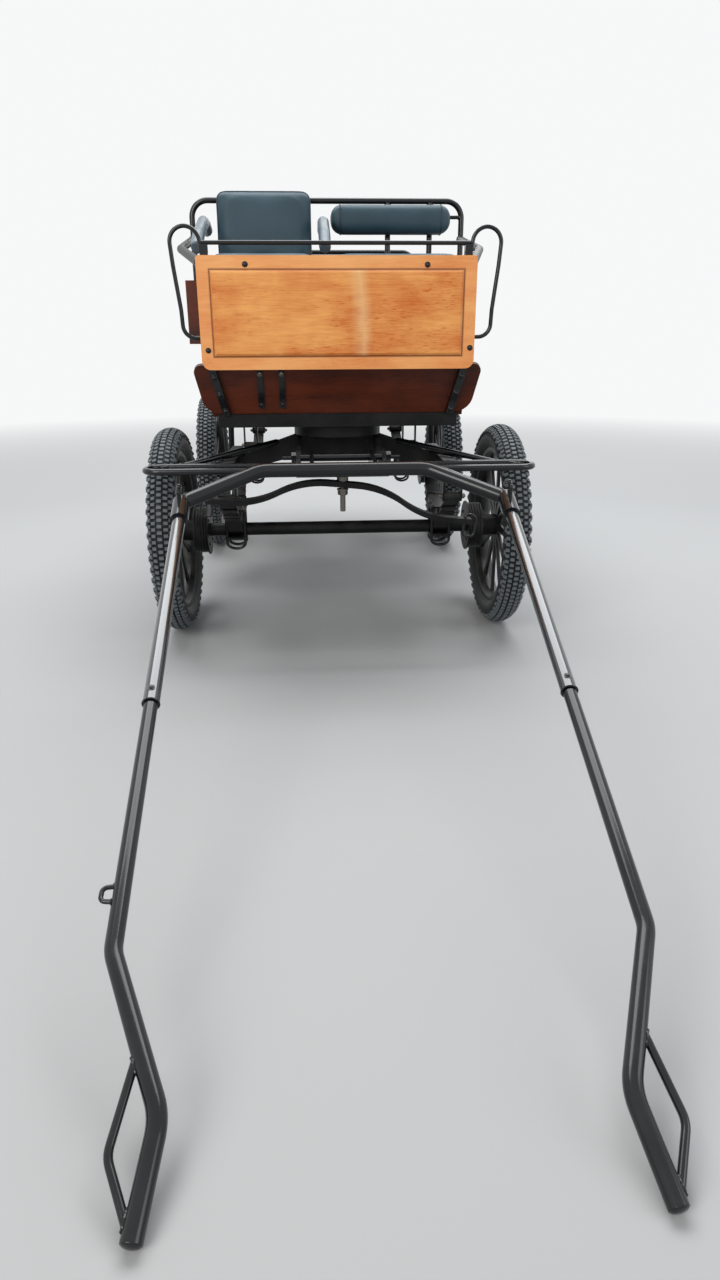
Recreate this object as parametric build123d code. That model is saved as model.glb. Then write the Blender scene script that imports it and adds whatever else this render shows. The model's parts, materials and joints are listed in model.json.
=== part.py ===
from build123d import *
import os
from math import asin, atan2, cos, degrees, radians, sin, sqrt

# Four-wheeled horse drawn carriage with a steered front carriage and a pair of shafts.
# Millimetres. The front faces -Y, +X is the vehicle's left side, +Z is up, the floor is Z = 0.
# Every station along Y is counted from the front axle until place() moves the piece.

# Wheels and axles
wheelbase = 1250
track = 1132
front_wheel_radius = 350
rear_wheel_radius = 365
tyre_width = 92
tyre_height = 88
lug_rows = 34
lug_height = 8
lug_length = 24
centre_lug_width = 34
shoulder_lug_width = 24
shoulder_lug_x = 31
shoulder_lug_tilt = 34
rim_half_seat = 24
rim_flange_wall = 4
rim_flange_height = 10
rim_depth = 18
spoke_count = 12
spoke_root_width = 30
spoke_tip_width = 20
spoke_thickness = 12
hub_radius = 38
hub_outer_reach = 40
hub_cap_radius = 26
hub_cap_length = 26
drum_radius = 80
drum_inner = 108
drum_outer = 62
axle_radius = 22.5
spindle_radius = 15
spindle_reach = 40
wheel_clearance = 0.1
backplate_radius = 86
backplate_thickness = 4
backplate_gap = 2

# Leaf springs
spring_x = 360
spring_width = 50
leaf_thickness = 7
leaf_count = 5
leaf_step = 48
front_spring_half = 240
rear_spring_half = 300
front_camber = 75
rear_camber = 80
spring_seat_height = 10
eye_radius = 14
eye_pin_radius = 6
pin_clearance = 0.2
hanger_plate = 6
hanger_depth = 38
side_gap = 0.5

# Chassis
rail_x = 360
rail_width = 40
rail_height = 40
frame_bottom = 715
frame_front = -165
front_beam_half = 378
cross_member_width = 40
turntable_cross_y = 110
centre_plate = 10
floor_thickness = 18
side_thickness = 15
side_inner_x = 385
panel_front_top = 1150
floor_front = -135

# Turntable and front carriage
ring_outer = 145
ring_inner = 100
ring_thickness = 18
ring_gap = 0.5
kingpin_radius = 15
kingpin_clearance = 0.4
kingpin_below = 60
kingpin_above = 30
kingpin_nut_radius = 23
kingpin_nut_height = 20
bolster_width = 50
bolster_flat_half = 130
bolster_shoulder_x = 300
bolster_shoulder_z = 620
side_rail_top = 605
side_rail_height = 40
side_rail_half_length = 262
carriage_tube_radius = 15
carriage_tube_y = 205

# Shaft hinge, wheel guards and swingletree
hinge_y = -330
hinge_z = 641
hinge_rod_radius = 11
hinge_rod_half = 150
hinge_nut_radius = 17
hinge_nut_length = 14
hinge_clearance = 0.3
futchell_x = 130
futchell_thickness = 12
guard_z = 610
guard_front_y = -370
guard_rear_y = -275
guard_tip_x = 592
guard_radius = 10
guard_bend = 46
guard_stay_root = 180
guard_stay_tip = 500
guard_stay_radius = 9
guard_brace_root = 300
guard_brace_tip = 552
guard_brace_radius = 6
swing_y = -420
swing_top = 584
swing_thickness = 16
swing_depth = 36
swing_half = 400
swing_drop = 80
swing_flat = 42
swing_run = 290
swing_tilt = 5.5
swing_bolt_radius = 8
swing_hole_radius = 10.5
swing_play = 2.6
swing_bolt_end = 495
swing_washer_radius = 17
swing_nut_radius = 15
swing_nut_height = 14
nose_top = 608
nose_thickness = 8
trace_ring_wire = 4
trace_hole_inset = 20

# Shafts, laid out in their own sloping plane from the root to the tip
shaft_slope = 19.35
shaft_root_x = 446
shaft_root_y = -618
shaft_bend_x = 407
shaft_bend_s = 1300
shaft_waist_x = 309
shaft_waist_s = 1530
shaft_tip_x = 324
shaft_length = 1665
sleeve_length = 775
shaft_radius = 14
sleeve_radius = 17
sleeve_overlap = 120
socket_radius = 24
socket_length = 90
crossbar_radius = 20
crossbar_y = -520
crossbar_z = 635
crossbar_half = 235
lug_x = 90
lug_thickness = 12
lug_boss = 20
socket_pins = [34, 62]
socket_pin_rise = 68
socket_pin_radius = 4
loop_radius = 6
staple_s = 1202

# Dash, toe board and rail
dash_width = 816
dash_height = 312
dash_bottom = 893
dash_thickness = 18
dash_lower_radius = 26
dash_upper_radius = 10
dash_back_y = -244
field_margin = 37
field_rise = 8
post_width = 22
post_x = 385
post_foot_x = 350
toe_top_z = 905
toe_bottom_z = 757
toe_top_half = 446
toe_bottom_half = 418
toe_upper_radius = 24
toe_lower_radius = 58
toe_thickness = 15
toe_slope_run = 68
toe_slope_rise = 165
pedal_places = [-242, -176]
pedal_strap_width = 18
pedal_strap_length = 132
pedal_strap_thickness = 6
pedal_strap_drop = 74
pedal_pin_drop = 24
pedal_pin_radius = 6
pedal_pin_clearance = 0.2
pedal_pin_length = 56
pedal_pad_width = 56
pedal_pad_height = 80
pedal_pad_drop = 54
pedal_pad_thickness = 8
pedal_groove = 3
rail_z = 1240
rail_radius = 6
handle_x = 484
handle_foot_z = 983
handle_arch = 43

# Seats
side_sill_z = 960
seat_box_half = 520
seat_box_front = 330
seat_box_rear = 780
seat_box_top = 1172
board_thickness = 15
cushion_height = 78
cushion_corner = 26
cushion_front = 312
cushion_rear = 690
driver_x = -248
driver_width = 420
driver_back_width = 384
driver_back_rise = 30
driver_back_thickness = 70
driver_back_y = 696
driver_cushion_rear = 640
passenger_x = 243
passenger_width = 500
passenger_back_width = 474
bolster_pad_height = 108
bolster_pad_depth = 90
bolster_pad_drop = 73
hoop_y = 762
hoop_half = 533
hoop_top = 1482
hoop_radius = 11
hoop_foot = 1010
hoop_stay_drop = 57
hoop_stay_radius = 7
passenger_posts = [238, 406]
driver_posts = [-340, -164]
hoop_bend = 62
seat_post_radius = 11
side_rail_radius = 14
side_rail_knee_x = 524
side_rail_drop = 137
side_rail_front_drop = 54
arm_radius = 24
arm_half_spacing = 226
arm_line = [(735, 1372), (640, 1398), (440, 1330), (350, 1276)]
arm_bends = [120, 160]
rear_box_half = 440
rear_box_depth = 385
rear_box_top = 1102
rear_back_top = 1370
rear_back_thickness = 60
rear_back_height = 190
rear_cushion_half = 420
rear_cushion_overhang = 15
rear_cushion_setback = 72
rear_rail_foot = 1010
rear_rail_bar_drop = 120
rear_rail_bar_radius = 8
step_width = 190
step_depth = 180
step_z = 450
step_x = 510
step_y = 700
step_tube_radius = 12

# Derived places
front_axle_z = front_wheel_radius
rear_axle_z = rear_wheel_radius
wheel_x = track / 2
frame_rear = wheelbase + rear_spring_half + 30
body_rear = frame_rear + 20
cross_stations = [0.38 * wheelbase, wheelbase - rear_spring_half, wheelbase + rear_spring_half - 10]
floor_bottom = frame_bottom + rail_height
floor_top = floor_bottom + floor_thickness
slope_sin = sin(radians(shaft_slope))
slope_cos = cos(radians(shaft_slope))
shaft_root_z = shaft_length * slope_sin + shaft_radius * slope_cos
upper_ring_bottom = frame_bottom - ring_thickness
lower_ring_top = upper_ring_bottom - ring_gap
bolster_top = lower_ring_top - ring_thickness
shaft_reach = -shaft_root_y + shaft_length * slope_cos + shaft_radius * slope_sin
rear_box_rear = body_rear
rear_box_front = rear_box_rear - rear_box_depth
row_shift = (shaft_reach - body_rear - side_thickness) / 2


def place(shape):
    """Move a piece from axle stations to the row frame, centred fore and aft."""
    return Pos(0, row_shift, 0) * shape


def mirrored(shape):
    return mirror(shape, about=Plane.YZ)


def block(x_range, y_range, z_range):
    """A box between three pairs of limits."""
    size = [hi - lo for lo, hi in (x_range, y_range, z_range)]
    middle = [(hi + lo) / 2 for lo, hi in (x_range, y_range, z_range)]
    return Pos(*middle) * Box(*size)


def rod(start, end, radius):
    """A round bar from one point to another."""
    line = Line(start, end)
    return extrude(Plane(origin=start, z_dir=line % 0) * Circle(radius), line.length)


def bent_rod(points, radius, bends):
    """A round bar along straight runs joined by arcs."""
    path = FilletPolyline(*points, radius=bends)
    return sweep(Plane(origin=path @ 0, z_dir=path % 0) * Circle(radius), path=path)


def cross_rod(x_range, y, z, radius):
    """A round bar that lies across the vehicle."""
    return rod((x_range[0], y, z), (x_range[1], y, z), radius)


def side_profile(points, x_range):
    """A closed outline in the side view, extruded between two x limits."""
    face = Plane.YZ.offset(x_range[0]) * make_face(Polyline(*points, close=True))
    return extrude(face, x_range[1] - x_range[0])


# Wheels


def tyre(outer_radius):
    """A tyre about the X axis, seated between the rim's flanges."""
    seat = outer_radius - tyre_height
    half = tyre_width / 2
    flange_outer = rim_half_seat + rim_flange_wall
    flange_top = seat + rim_flange_height
    crown = outer_radius - lug_height
    shoulder = (half - 7, crown - 16)
    left = (-shoulder[0], shoulder[1])
    outline = Polyline((-flange_outer, flange_top), (-rim_half_seat, flange_top), (-rim_half_seat, seat),
                       (rim_half_seat, seat), (rim_half_seat, flange_top), (flange_outer, flange_top))
    outline += ThreePointArc((flange_outer, flange_top), (half, seat + 0.48 * tyre_height), shoulder)
    outline += ThreePointArc(shoulder, (0, crown), left)
    outline += ThreePointArc(left, (-half, seat + 0.48 * tyre_height), (-flange_outer, flange_top))
    carcass = revolve(Plane.XZ * make_face(outline), axis=Axis.X)
    top = sqrt(outer_radius ** 2 - (lug_length / 2) ** 2)
    centre_lug = Pos(0, 0, top - lug_height) * Box(centre_lug_width, lug_length, 2 * lug_height)
    shoulder_lug = Pos(shoulder_lug_x, 0, crown - 7) * Rot(0, shoulder_lug_tilt, 0) * Box(
        shoulder_lug_width, lug_length, 2 * lug_height)
    lugs = []
    for row in range(lug_rows):
        angle = row * 360 / lug_rows
        lugs.append(Rot(angle, 0, 0) * centre_lug)
        between = Rot(angle + 180 / lug_rows, 0, 0) * shoulder_lug
        lugs += [between, mirrored(between)]
    return carcass + lugs


def wheel(outer_radius):
    """Rim, spokes, hub and brake drum about the X axis, outer side towards +X."""
    seat = outer_radius - tyre_height
    flange_outer = rim_half_seat + rim_flange_wall
    flange_top = seat + rim_flange_height
    well = seat - rim_depth
    rim_line = Polyline((-flange_outer, flange_top), (-rim_half_seat, flange_top), (-rim_half_seat, seat),
                        (rim_half_seat, seat), (rim_half_seat, flange_top), (flange_outer, flange_top),
                        (flange_outer, seat - 6), (12, well), (-12, well), (-flange_outer, seat - 6),
                        close=True)
    bore = spindle_radius + wheel_clearance
    cap_end = hub_outer_reach + hub_cap_length
    hub_line = Polyline((-drum_inner, bore), (-drum_inner, drum_radius), (-drum_outer, drum_radius),
                        (-drum_outer, hub_radius), (hub_outer_reach, hub_radius),
                        (hub_outer_reach, hub_cap_radius), (cap_end - 5, hub_cap_radius - 2),
                        (cap_end, hub_cap_radius - 10), (cap_end, 0), (spindle_reach + 4, 0),
                        (spindle_reach + 4, bore), close=True)
    solid = revolve(Plane.XZ * make_face(rim_line), axis=Axis.X)
    solid += revolve(Plane.XZ * make_face(hub_line), axis=Axis.X)
    root = hub_radius - 3
    tip = well + 3
    blade = Polyline((-spoke_root_width / 2, root), (spoke_root_width / 2, root),
                     (spoke_tip_width / 2, tip), (-spoke_tip_width / 2, tip), close=True)
    spoke = extrude(Plane.YZ.offset(-spoke_thickness / 2) * make_face(blade), spoke_thickness)
    for index in range(spoke_count):
        solid += Rot(index * 360 / spoke_count, 0, 0) * spoke
    return solid


# Axles and springs


def axle(axle_z, station_y):
    """A straight tube with spindles, spring seats and brake backplates."""
    shoulder_x = wheel_x - drum_inner - backplate_gap
    solid = cross_rod((-shoulder_x, shoulder_x), station_y, axle_z, axle_radius)
    for side in (-1, 1):
        solid += cross_rod((side * shoulder_x, side * (wheel_x + spindle_reach)), station_y, axle_z,
                           spindle_radius)
        solid += cross_rod((side * (shoulder_x - backplate_thickness), side * shoulder_x), station_y,
                           axle_z, backplate_radius)
        seat = (side * spring_x - spring_width / 2, side * spring_x + spring_width / 2)
        solid += block(seat, (station_y - 32, station_y + 32),
                       (axle_z, axle_z + axle_radius + spring_seat_height))
    return solid


def spring_places(axle_z, half_length, camber):
    """Radius of the main leaf, its centre height and the height of its eyes."""
    radius = (half_length ** 2 + camber ** 2) / (2 * camber)
    main_z = axle_z + axle_radius + spring_seat_height + leaf_count * leaf_thickness
    centre_z = main_z + radius
    eye_z = centre_z - sqrt((radius + leaf_thickness - eye_radius) ** 2 - half_length ** 2)
    return radius, centre_z, eye_z


def spring(axle_z, station_y, half_length, camber):
    """A stack of curved leaves, longest on top, with an eye at each end and a clamp round the axle."""
    radius, centre_z, eye_z = spring_places(axle_z, half_length, camber)
    solid = None
    for index in range(leaf_count):
        inner = radius + index * leaf_thickness
        reach = half_length - index * leaf_step
        half_angle = asin(reach / inner)
        far = inner + 2 * leaf_thickness
        wedge = Polyline((0, 0), (-far * sin(half_angle), -far * cos(half_angle)), (0, -far * 1.05),
                         (far * sin(half_angle), -far * cos(half_angle)), close=True)
        leaf = (Circle(inner + leaf_thickness) - Circle(inner)) & make_face(wedge)
        leaf = extrude(Plane.YZ.offset(-spring_width / 2) * leaf, spring_width)
        solid = leaf if solid is None else solid + leaf
    solid = Pos(0, station_y, centre_z) * solid
    for end in (-1, 1):
        eye_y = station_y + end * half_length
        solid += cross_rod((-spring_width / 2, spring_width / 2), eye_y, eye_z, eye_radius)
    for end in (-1, 1):
        eye_y = station_y + end * half_length
        solid -= cross_rod((-spring_width, spring_width), eye_y, eye_z, eye_pin_radius + pin_clearance)
    top = centre_z - radius
    bottom = axle_z - axle_radius
    plate_half = spring_width / 2 + 12
    solid += block((-plate_half, plate_half), (station_y - 40, station_y + 40), (top, top + 8))
    solid += block((-plate_half, plate_half), (station_y - 40, station_y + 40), (bottom - 8, bottom))
    for leg_x in (-plate_half + 6, plate_half - 6):
        for leg_y in (-31, 31):
            solid += rod((leg_x, station_y + leg_y, bottom - 22), (leg_x, station_y + leg_y, top + 14), 5)
    return solid


def hanger(station_y, eye_z, top_z):
    """Two plates under a rail that carry the pin through a spring eye."""
    plate_x = spring_width / 2 + side_gap
    half = hanger_depth / 2
    solid = block((-plate_x - hanger_plate, plate_x + hanger_plate), (station_y - half, station_y + half),
                  (top_z - 8, top_z))
    for side in (-1, 1):
        outline = [(station_y - half, top_z - 8), (station_y + half, top_z - 8),
                   (station_y + 15, eye_z - 4), (station_y + 7, eye_z - 16),
                   (station_y - 7, eye_z - 16), (station_y - 15, eye_z - 4)]
        inner, outer = side * plate_x, side * (plate_x + hanger_plate)
        solid += side_profile(outline, (min(inner, outer), max(inner, outer)))
    reach = plate_x + hanger_plate + 6
    return solid + cross_rod((-reach, reach), station_y, eye_z, eye_pin_radius)


# Body frame


def chassis_frame():
    """Two box rails with cross members, a centre plate for the kingpin and the rear spring hangers."""
    z_range = (frame_bottom, frame_bottom + rail_height)
    front_beam = (frame_front, frame_front + cross_member_width)
    solid = block((-front_beam_half, front_beam_half), front_beam, z_range)
    for side in (-1, 1):
        solid += block((side * rail_x - rail_width / 2, side * rail_x + rail_width / 2),
                       (frame_front, frame_rear), z_range)
    half = cross_member_width / 2
    for station in [-turntable_cross_y, turntable_cross_y] + cross_stations:
        solid += block((-rail_x, rail_x), (station - half, station + half), z_range)
    plate = (-turntable_cross_y, turntable_cross_y)
    solid += block(plate, plate, (frame_bottom, frame_bottom + centre_plate))
    bore = kingpin_radius + kingpin_clearance
    solid -= rod((0, 0, frame_bottom - 1), (0, 0, frame_bottom + rail_height), bore)
    eye_z = spring_places(rear_axle_z, rear_spring_half, rear_camber)[2]
    for side in (-1, 1):
        for end in (-1, 1):
            station = wheelbase + end * rear_spring_half
            solid += Pos(side * spring_x, 0, 0) * hanger(station, eye_z, frame_bottom)
    return solid


def ring(bottom_z):
    """A flat turntable ring."""
    return Pos(0, 0, bottom_z + ring_thickness / 2) * (
        Cylinder(ring_outer, ring_thickness) - Cylinder(ring_inner, ring_thickness))


def post_path():
    """Centre line of a front post: sloping in front of the toe board, upright behind the dash."""
    front_y = dash_back_y + post_width / 2
    run = toe_slope_run * (toe_top_z - floor_bottom) / toe_slope_rise
    return [(front_y + run, floor_bottom), (front_y, toe_top_z), (front_y, rail_z)]


def dash_frame():
    """Front posts, the rail over the dash and the bent grab handle at each end of the rail."""
    foot, knee, top = post_path()
    half = post_width / 2
    arch_top = rail_z + handle_arch
    fall = (toe_top_z - floor_bottom) * sqrt(1 + (toe_slope_run / toe_slope_rise) ** 2)
    solid = cross_rod((-post_x - half, post_x + half), top[0], rail_z, rail_radius)
    for side in (-1, 1):
        upright = (side * post_x - half, side * post_x + half)
        solid += block(upright, (top[0] - half, top[0] + half), (toe_top_z - 10, rail_z - rail_radius + 2))
        strut = Polyline((side * post_x - half, 0), (side * post_x + half, 0),
                         (side * post_foot_x + half, -fall), (side * post_foot_x - half, -fall), close=True)
        strut = extrude(toe_plane() * make_face(strut), post_width)
        solid += strut - block((-dash_width, dash_width), (top[0] - half, 0), (0, floor_bottom))
        outline = [(post_x + half, rail_z - rail_radius), (post_x + half, arch_top), (handle_x, arch_top),
                   (handle_x - 8, rail_z - 60), (handle_x - 22, rail_z - 180), (handle_x - 25, handle_foot_z),
                   (post_x + half - 2, handle_foot_z)]
        handle = [(side * x, top[0], z) for x, z in outline]
        solid += bent_rod(handle, rail_radius, [handle_arch, handle_arch, 120, 120, 36])
    return solid


def dash_panel():
    """The front panel: a board with rounded corners and a raised field."""
    middle_z = dash_bottom + dash_height / 2
    board = Rectangle(dash_width, dash_height)
    board = fillet(board.vertices().group_by(Axis.Y)[0], dash_lower_radius)
    board = fillet(board.vertices().group_by(Axis.Y)[-1], dash_upper_radius)
    face_plane = Plane(origin=(0, dash_back_y, middle_z), x_dir=(1, 0, 0), z_dir=(0, -1, 0))
    solid = extrude(face_plane * board, dash_thickness)
    field = Rectangle(dash_width - 2 * field_margin, dash_height - 2 * field_margin)
    raised = extrude(face_plane.offset(dash_thickness) * field, field_rise, taper=48)
    return solid + raised


def toe_plane():
    """Plane of the toe board's front face, x across and y up the slope, origin at the top edge."""
    foot, knee, top = post_path()
    run, rise = toe_slope_run, toe_slope_rise
    length = sqrt(run ** 2 + rise ** 2)
    return Plane(origin=(0, knee[0] + post_width / 2, toe_top_z), x_dir=(1, 0, 0),
                 z_dir=(0, -rise / length, -run / length))


def toe_board():
    """The sloping board under the dash, its corners rounded, with a hole for each pedal pin."""
    length = (toe_top_z - toe_bottom_z) * sqrt(1 + (toe_slope_run / toe_slope_rise) ** 2)
    board = make_face(Polyline((toe_top_half, 0), (toe_bottom_half, -length), (-toe_bottom_half, -length),
                               (-toe_top_half, 0), close=True))
    board = fillet(board.vertices().group_by(Axis.Y)[0], toe_lower_radius)
    board = fillet(board.vertices().group_by(Axis.Y)[-1], toe_upper_radius)
    solid = extrude(toe_plane() * board, -toe_thickness)
    for pedal_x in pedal_places:
        hole = toe_plane() * Pos(pedal_x, -pedal_pin_drop) * Circle(pedal_pin_radius + pedal_pin_clearance)
        solid -= extrude(hole, -toe_thickness)
    return solid


def brake_pedals():
    """Two foot brakes: a strap on the toe board's face and a pin through the board to a grooved pad."""
    plane = toe_plane()
    pad_back = plane.offset(-pedal_pin_length)
    strap = RectangleRounded(pedal_strap_width, pedal_strap_length, pedal_strap_width / 2 - 1)
    solids = []
    for pedal_x in pedal_places:
        pin_place = plane * Pos(pedal_x, -pedal_pin_drop)
        pedal = extrude(plane * Pos(pedal_x, -pedal_strap_drop) * strap, pedal_strap_thickness)
        pedal += extrude(pin_place * Circle(pedal_pin_radius + 1), pedal_strap_thickness + 5)
        pedal += extrude(pin_place * Circle(pedal_pin_radius), -pedal_pin_length)
        pad = RectangleRounded(pedal_pad_width, pedal_pad_height, 10)
        pedal += extrude(pad_back * Pos(pedal_x, -pedal_pad_drop) * pad, -pedal_pad_thickness)
        for row in (-24, -8, 8, 24):
            groove = Pos(pedal_x, row - pedal_pad_drop) * Rectangle(pedal_pad_width, pedal_groove)
            pedal -= extrude(pad_back.offset(-pedal_pad_thickness) * groove, pedal_groove)
        solids.append(pedal)
    return Compound(children=solids)


def floor_panel():
    return block((-side_inner_x, side_inner_x), (floor_front, body_rear), (floor_bottom, floor_top))


def side_panel(side):
    """A body side: high at the dash, low at the foot well and level under the seats."""
    back_y = dash_back_y + post_width
    toe_back = back_y + toe_thickness * sqrt(1 + (toe_slope_run / toe_slope_rise) ** 2) + side_gap
    panel_bottom = floor_bottom - 8
    toe_foot = toe_back + toe_slope_run * (toe_top_z - floor_bottom) / toe_slope_rise
    line = FilletPolyline((toe_foot, floor_bottom), (toe_back, toe_top_z + 6), (toe_back, panel_front_top),
                          (-150, panel_front_top), (40, side_sill_z - 50), (230, side_sill_z - 50),
                          (300, side_sill_z),
                          (body_rear, side_sill_z), (body_rear, panel_bottom), (toe_foot + 4, panel_bottom),
                          radius=[0, 12, 40, 160, 60, 60, 20, 8], close=False)
    line += Line((toe_foot + 4, panel_bottom), (toe_foot, floor_bottom))
    inner = side_inner_x if side > 0 else -side_inner_x - side_thickness
    return extrude(Plane.YZ.offset(inner) * make_face(line), side_thickness)


def rear_panel():
    """The tail board."""
    board = RectangleRounded(2 * (side_inner_x + side_thickness), side_sill_z - frame_bottom, 12)
    middle_z = (side_sill_z + frame_bottom) / 2
    plane = Plane(origin=(0, body_rear, middle_z), x_dir=(-1, 0, 0), z_dir=(0, 1, 0))
    return extrude(plane * board, side_thickness)


# Seats


def seat_box(half, front, rear, bottom, top):
    """A bench box of boards, open underneath."""
    outer = block((-half, half), (front, rear), (bottom, top))
    wall = board_thickness
    inner = block((-half + wall, half - wall), (front + wall, rear - wall), (bottom - 1, top - wall))
    return outer - inner


def cushion(x_middle, width, front, rear, bottom):
    """A seat cushion with rounded corners."""
    corner = cushion_corner
    plan = Pos(x_middle, (front + rear) / 2) * RectangleRounded(width, rear - front, corner)
    solid = extrude(Plane.XY.offset(bottom) * plan, cushion_height)
    return fillet(solid.faces().sort_by(Axis.Z)[-1].edges(), corner * 0.8)


def driver_backrest():
    """The driver's upright back pad, leaning a little back."""
    driver_back_top = hoop_top + driver_back_rise
    height = driver_back_top - seat_box_top - cushion_height + 20
    outline = RectangleRounded(driver_back_width, height, 34)
    pad = extrude(Plane.XZ.offset(-driver_back_thickness / 2) * outline, driver_back_thickness)
    pad = fillet(pad.edges().group_by(Axis.Y)[0] + pad.edges().group_by(Axis.Y)[-1], 22)
    return Pos(driver_x, driver_back_y, driver_back_top - height / 2) * Rot(-6, 0, 0) * pad


def passenger_backrest():
    """A bolster with one round and one squarer end."""
    outline = RectangleRounded(passenger_back_width, bolster_pad_height, 46)
    pad = extrude(Plane.XZ.offset(-bolster_pad_depth / 2) * outline, bolster_pad_depth)
    pad = fillet(pad.edges().group_by(Axis.Y)[0] + pad.edges().group_by(Axis.Y)[-1], 30)
    return Pos(passenger_x, hoop_y - 56, hoop_top - bolster_pad_drop) * pad


def armrest(x):
    """A padded arm that curves from the backrest forward and down to the cushion."""
    return bent_rod([(x, y, z) for y, z in arm_line], arm_radius, arm_bends)


def hoop_points(half, y, foot, top):
    """Corners of an upright hoop across the vehicle."""
    return [(-half, y, foot), (-half, y, top), (half, y, top), (half, y, foot)]


def seat_hoop():
    """The tall hoop behind the front seat with two posts for the bolster and a short stay."""
    solid = bent_rod(hoop_points(hoop_half, hoop_y, hoop_foot, hoop_top), hoop_radius, [hoop_bend, hoop_bend])
    for post in passenger_posts + driver_posts:
        solid += rod((post, hoop_y, seat_box_top), (post, hoop_y, hoop_top), seat_post_radius)
    stay = (passenger_posts[-1], hoop_half)
    return solid + cross_rod(stay, hoop_y, hoop_top - hoop_stay_drop, hoop_stay_radius)


def side_rail(side):
    """The rail from the hoop down to the corner of the dash."""
    post_back = dash_back_y + post_width
    back_z, front_z = hoop_top - side_rail_drop, rail_z - side_rail_front_drop
    hoop_x = side * hoop_half
    points = [(hoop_x, hoop_y, back_z), (side * side_rail_knee_x, seat_box_front - 20, back_z - 75),
              (side * (post_x + 14), post_back - 10, front_z)]
    rail = bent_rod(points, side_rail_radius, 200)
    rail -= rod((hoop_x, hoop_y, back_z - 60), (hoop_x, hoop_y, back_z + 60), hoop_radius + 0.1)
    rail -= block((-wheel_x, wheel_x), (post_back - 60, post_back), (front_z - 60, front_z + 60))
    return rail.solids().sort_by(SortBy.VOLUME)[-1]


def rear_backrest():
    pad = Box(2 * rear_cushion_half - 20, rear_back_thickness, rear_back_height)
    pad = fillet(pad.edges().filter_by(Axis.X), 24)
    return Pos(0, rear_box_rear - 40, rear_back_top - 5 - rear_back_height / 2) * pad


def rear_seat_rail():
    """The low tube rail behind the rear bench."""
    half = rear_box_half + hoop_radius
    rail_y = rear_box_rear + 4
    points = hoop_points(half, rail_y, rear_rail_foot, rear_back_top)
    solid = bent_rod(points, hoop_radius, [hoop_bend, hoop_bend])
    return solid + cross_rod((-half, half), rail_y, rear_back_top - rear_rail_bar_drop, rear_rail_bar_radius)


def side_step(side):
    """A tread plate on a bent tube from the chassis rail."""
    tube_z = frame_bottom + step_tube_radius
    points = [(side * (rail_x + rail_width / 2), step_y, tube_z), (side * (rail_x + 60), step_y, tube_z),
              (side * (rail_x + 70), step_y, step_z - 8), (side * (step_x + 70), step_y, step_z - 8)]
    solid = bent_rod(points, step_tube_radius, [24, 40])
    tread = Pos(side * step_x, step_y, step_z) * Box(step_width, step_depth, 6)
    return solid + tread


# Front carriage


def kingpin():
    """The vertical pin through the turntable, with its nut above the centre plate."""
    plate_top = frame_bottom + centre_plate
    solid = rod((0, 0, bolster_top - kingpin_below), (0, 0, plate_top + kingpin_above), kingpin_radius)
    nut = Plane.XY.offset(plate_top + 1) * RegularPolygon(kingpin_nut_radius, 6)
    return solid + extrude(nut, kingpin_nut_height)


def front_frame():
    """Arched bolster, side rails over the springs, cross tubes, futchells and the nose plate."""
    inner_x = spring_x - 20
    half = bolster_width / 2
    low = side_rail_top - side_rail_height
    outline = Polyline((-inner_x, low), (-bolster_shoulder_x, low), (-110, low + 46), (110, low + 46),
                       (bolster_shoulder_x, low), (inner_x, low), (inner_x, bolster_shoulder_z),
                       (bolster_shoulder_x, bolster_shoulder_z), (bolster_flat_half, bolster_top),
                       (-bolster_flat_half, bolster_top), (-bolster_shoulder_x, bolster_shoulder_z),
                       (-inner_x, bolster_shoulder_z), close=True)
    solid = extrude(Plane.XZ.offset(-half) * make_face(outline), bolster_width)
    solid -= rod((0, 0, bolster_top - kingpin_below), (0, 0, bolster_top + 1), kingpin_radius)
    for side in (-1, 1):
        solid += block((side * spring_x - 20, side * spring_x + 20),
                       (-side_rail_half_length, side_rail_half_length), (low, side_rail_top))
    tube_z = side_rail_top - carriage_tube_radius - 1
    for station in (-carriage_tube_y, carriage_tube_y):
        solid += cross_rod((-inner_x, inner_x), station, tube_z, carriage_tube_radius)
    eye_z = spring_places(front_axle_z, front_spring_half, front_camber)[2]
    for side in (-1, 1):
        for end in (-1, 1):
            solid += Pos(side * spring_x, 0, 0) * hanger(end * front_spring_half, eye_z, low)
    for side in (-1, 1):
        outline = [(-half, bolster_top - 46), (-half, bolster_top - 6), (hinge_y, hinge_z + 20),
                   (hinge_y - 14, hinge_z + 14), (hinge_y - 20, hinge_z), (guard_front_y - 14, guard_z + 10),
                   (swing_y - 22, nose_top), (swing_y - 22, nose_top - nose_thickness),
                   (guard_rear_y, guard_z - 22)]
        plate = (side * futchell_x - futchell_thickness / 2, side * futchell_x + futchell_thickness / 2)
        solid += side_profile(outline, plate)
    nose_half = futchell_x - futchell_thickness / 2
    nose_z = (nose_top - nose_thickness, nose_top)
    solid += block((-nose_half, nose_half), (swing_y - 22, swing_y + 60), nose_z)
    solid -= cross_rod((-hinge_rod_half, hinge_rod_half), hinge_y, hinge_z, hinge_rod_radius)
    solid -= rod((0, swing_y, nose_top - 20), (0, swing_y, nose_top + 5), swing_bolt_radius + 0.2)
    return solid


def hinge_rod():
    """The rod that the shafts hinge on, with a nut at each end and a threaded stub."""
    solid = cross_rod((-hinge_rod_half, hinge_rod_half), hinge_y, hinge_z, hinge_rod_radius)
    for side in (-1, 1):
        start = side * (futchell_x + futchell_thickness / 2 + 1)
        plane = Plane(origin=(start, hinge_y, hinge_z), z_dir=(side, 0, 0))
        solid += extrude(plane * RegularPolygon(hinge_nut_radius, 6), hinge_nut_length)
        solid += cross_rod((side * hinge_rod_half, side * (hinge_rod_half + 28)), hinge_y, hinge_z, 6)
    return solid


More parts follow.
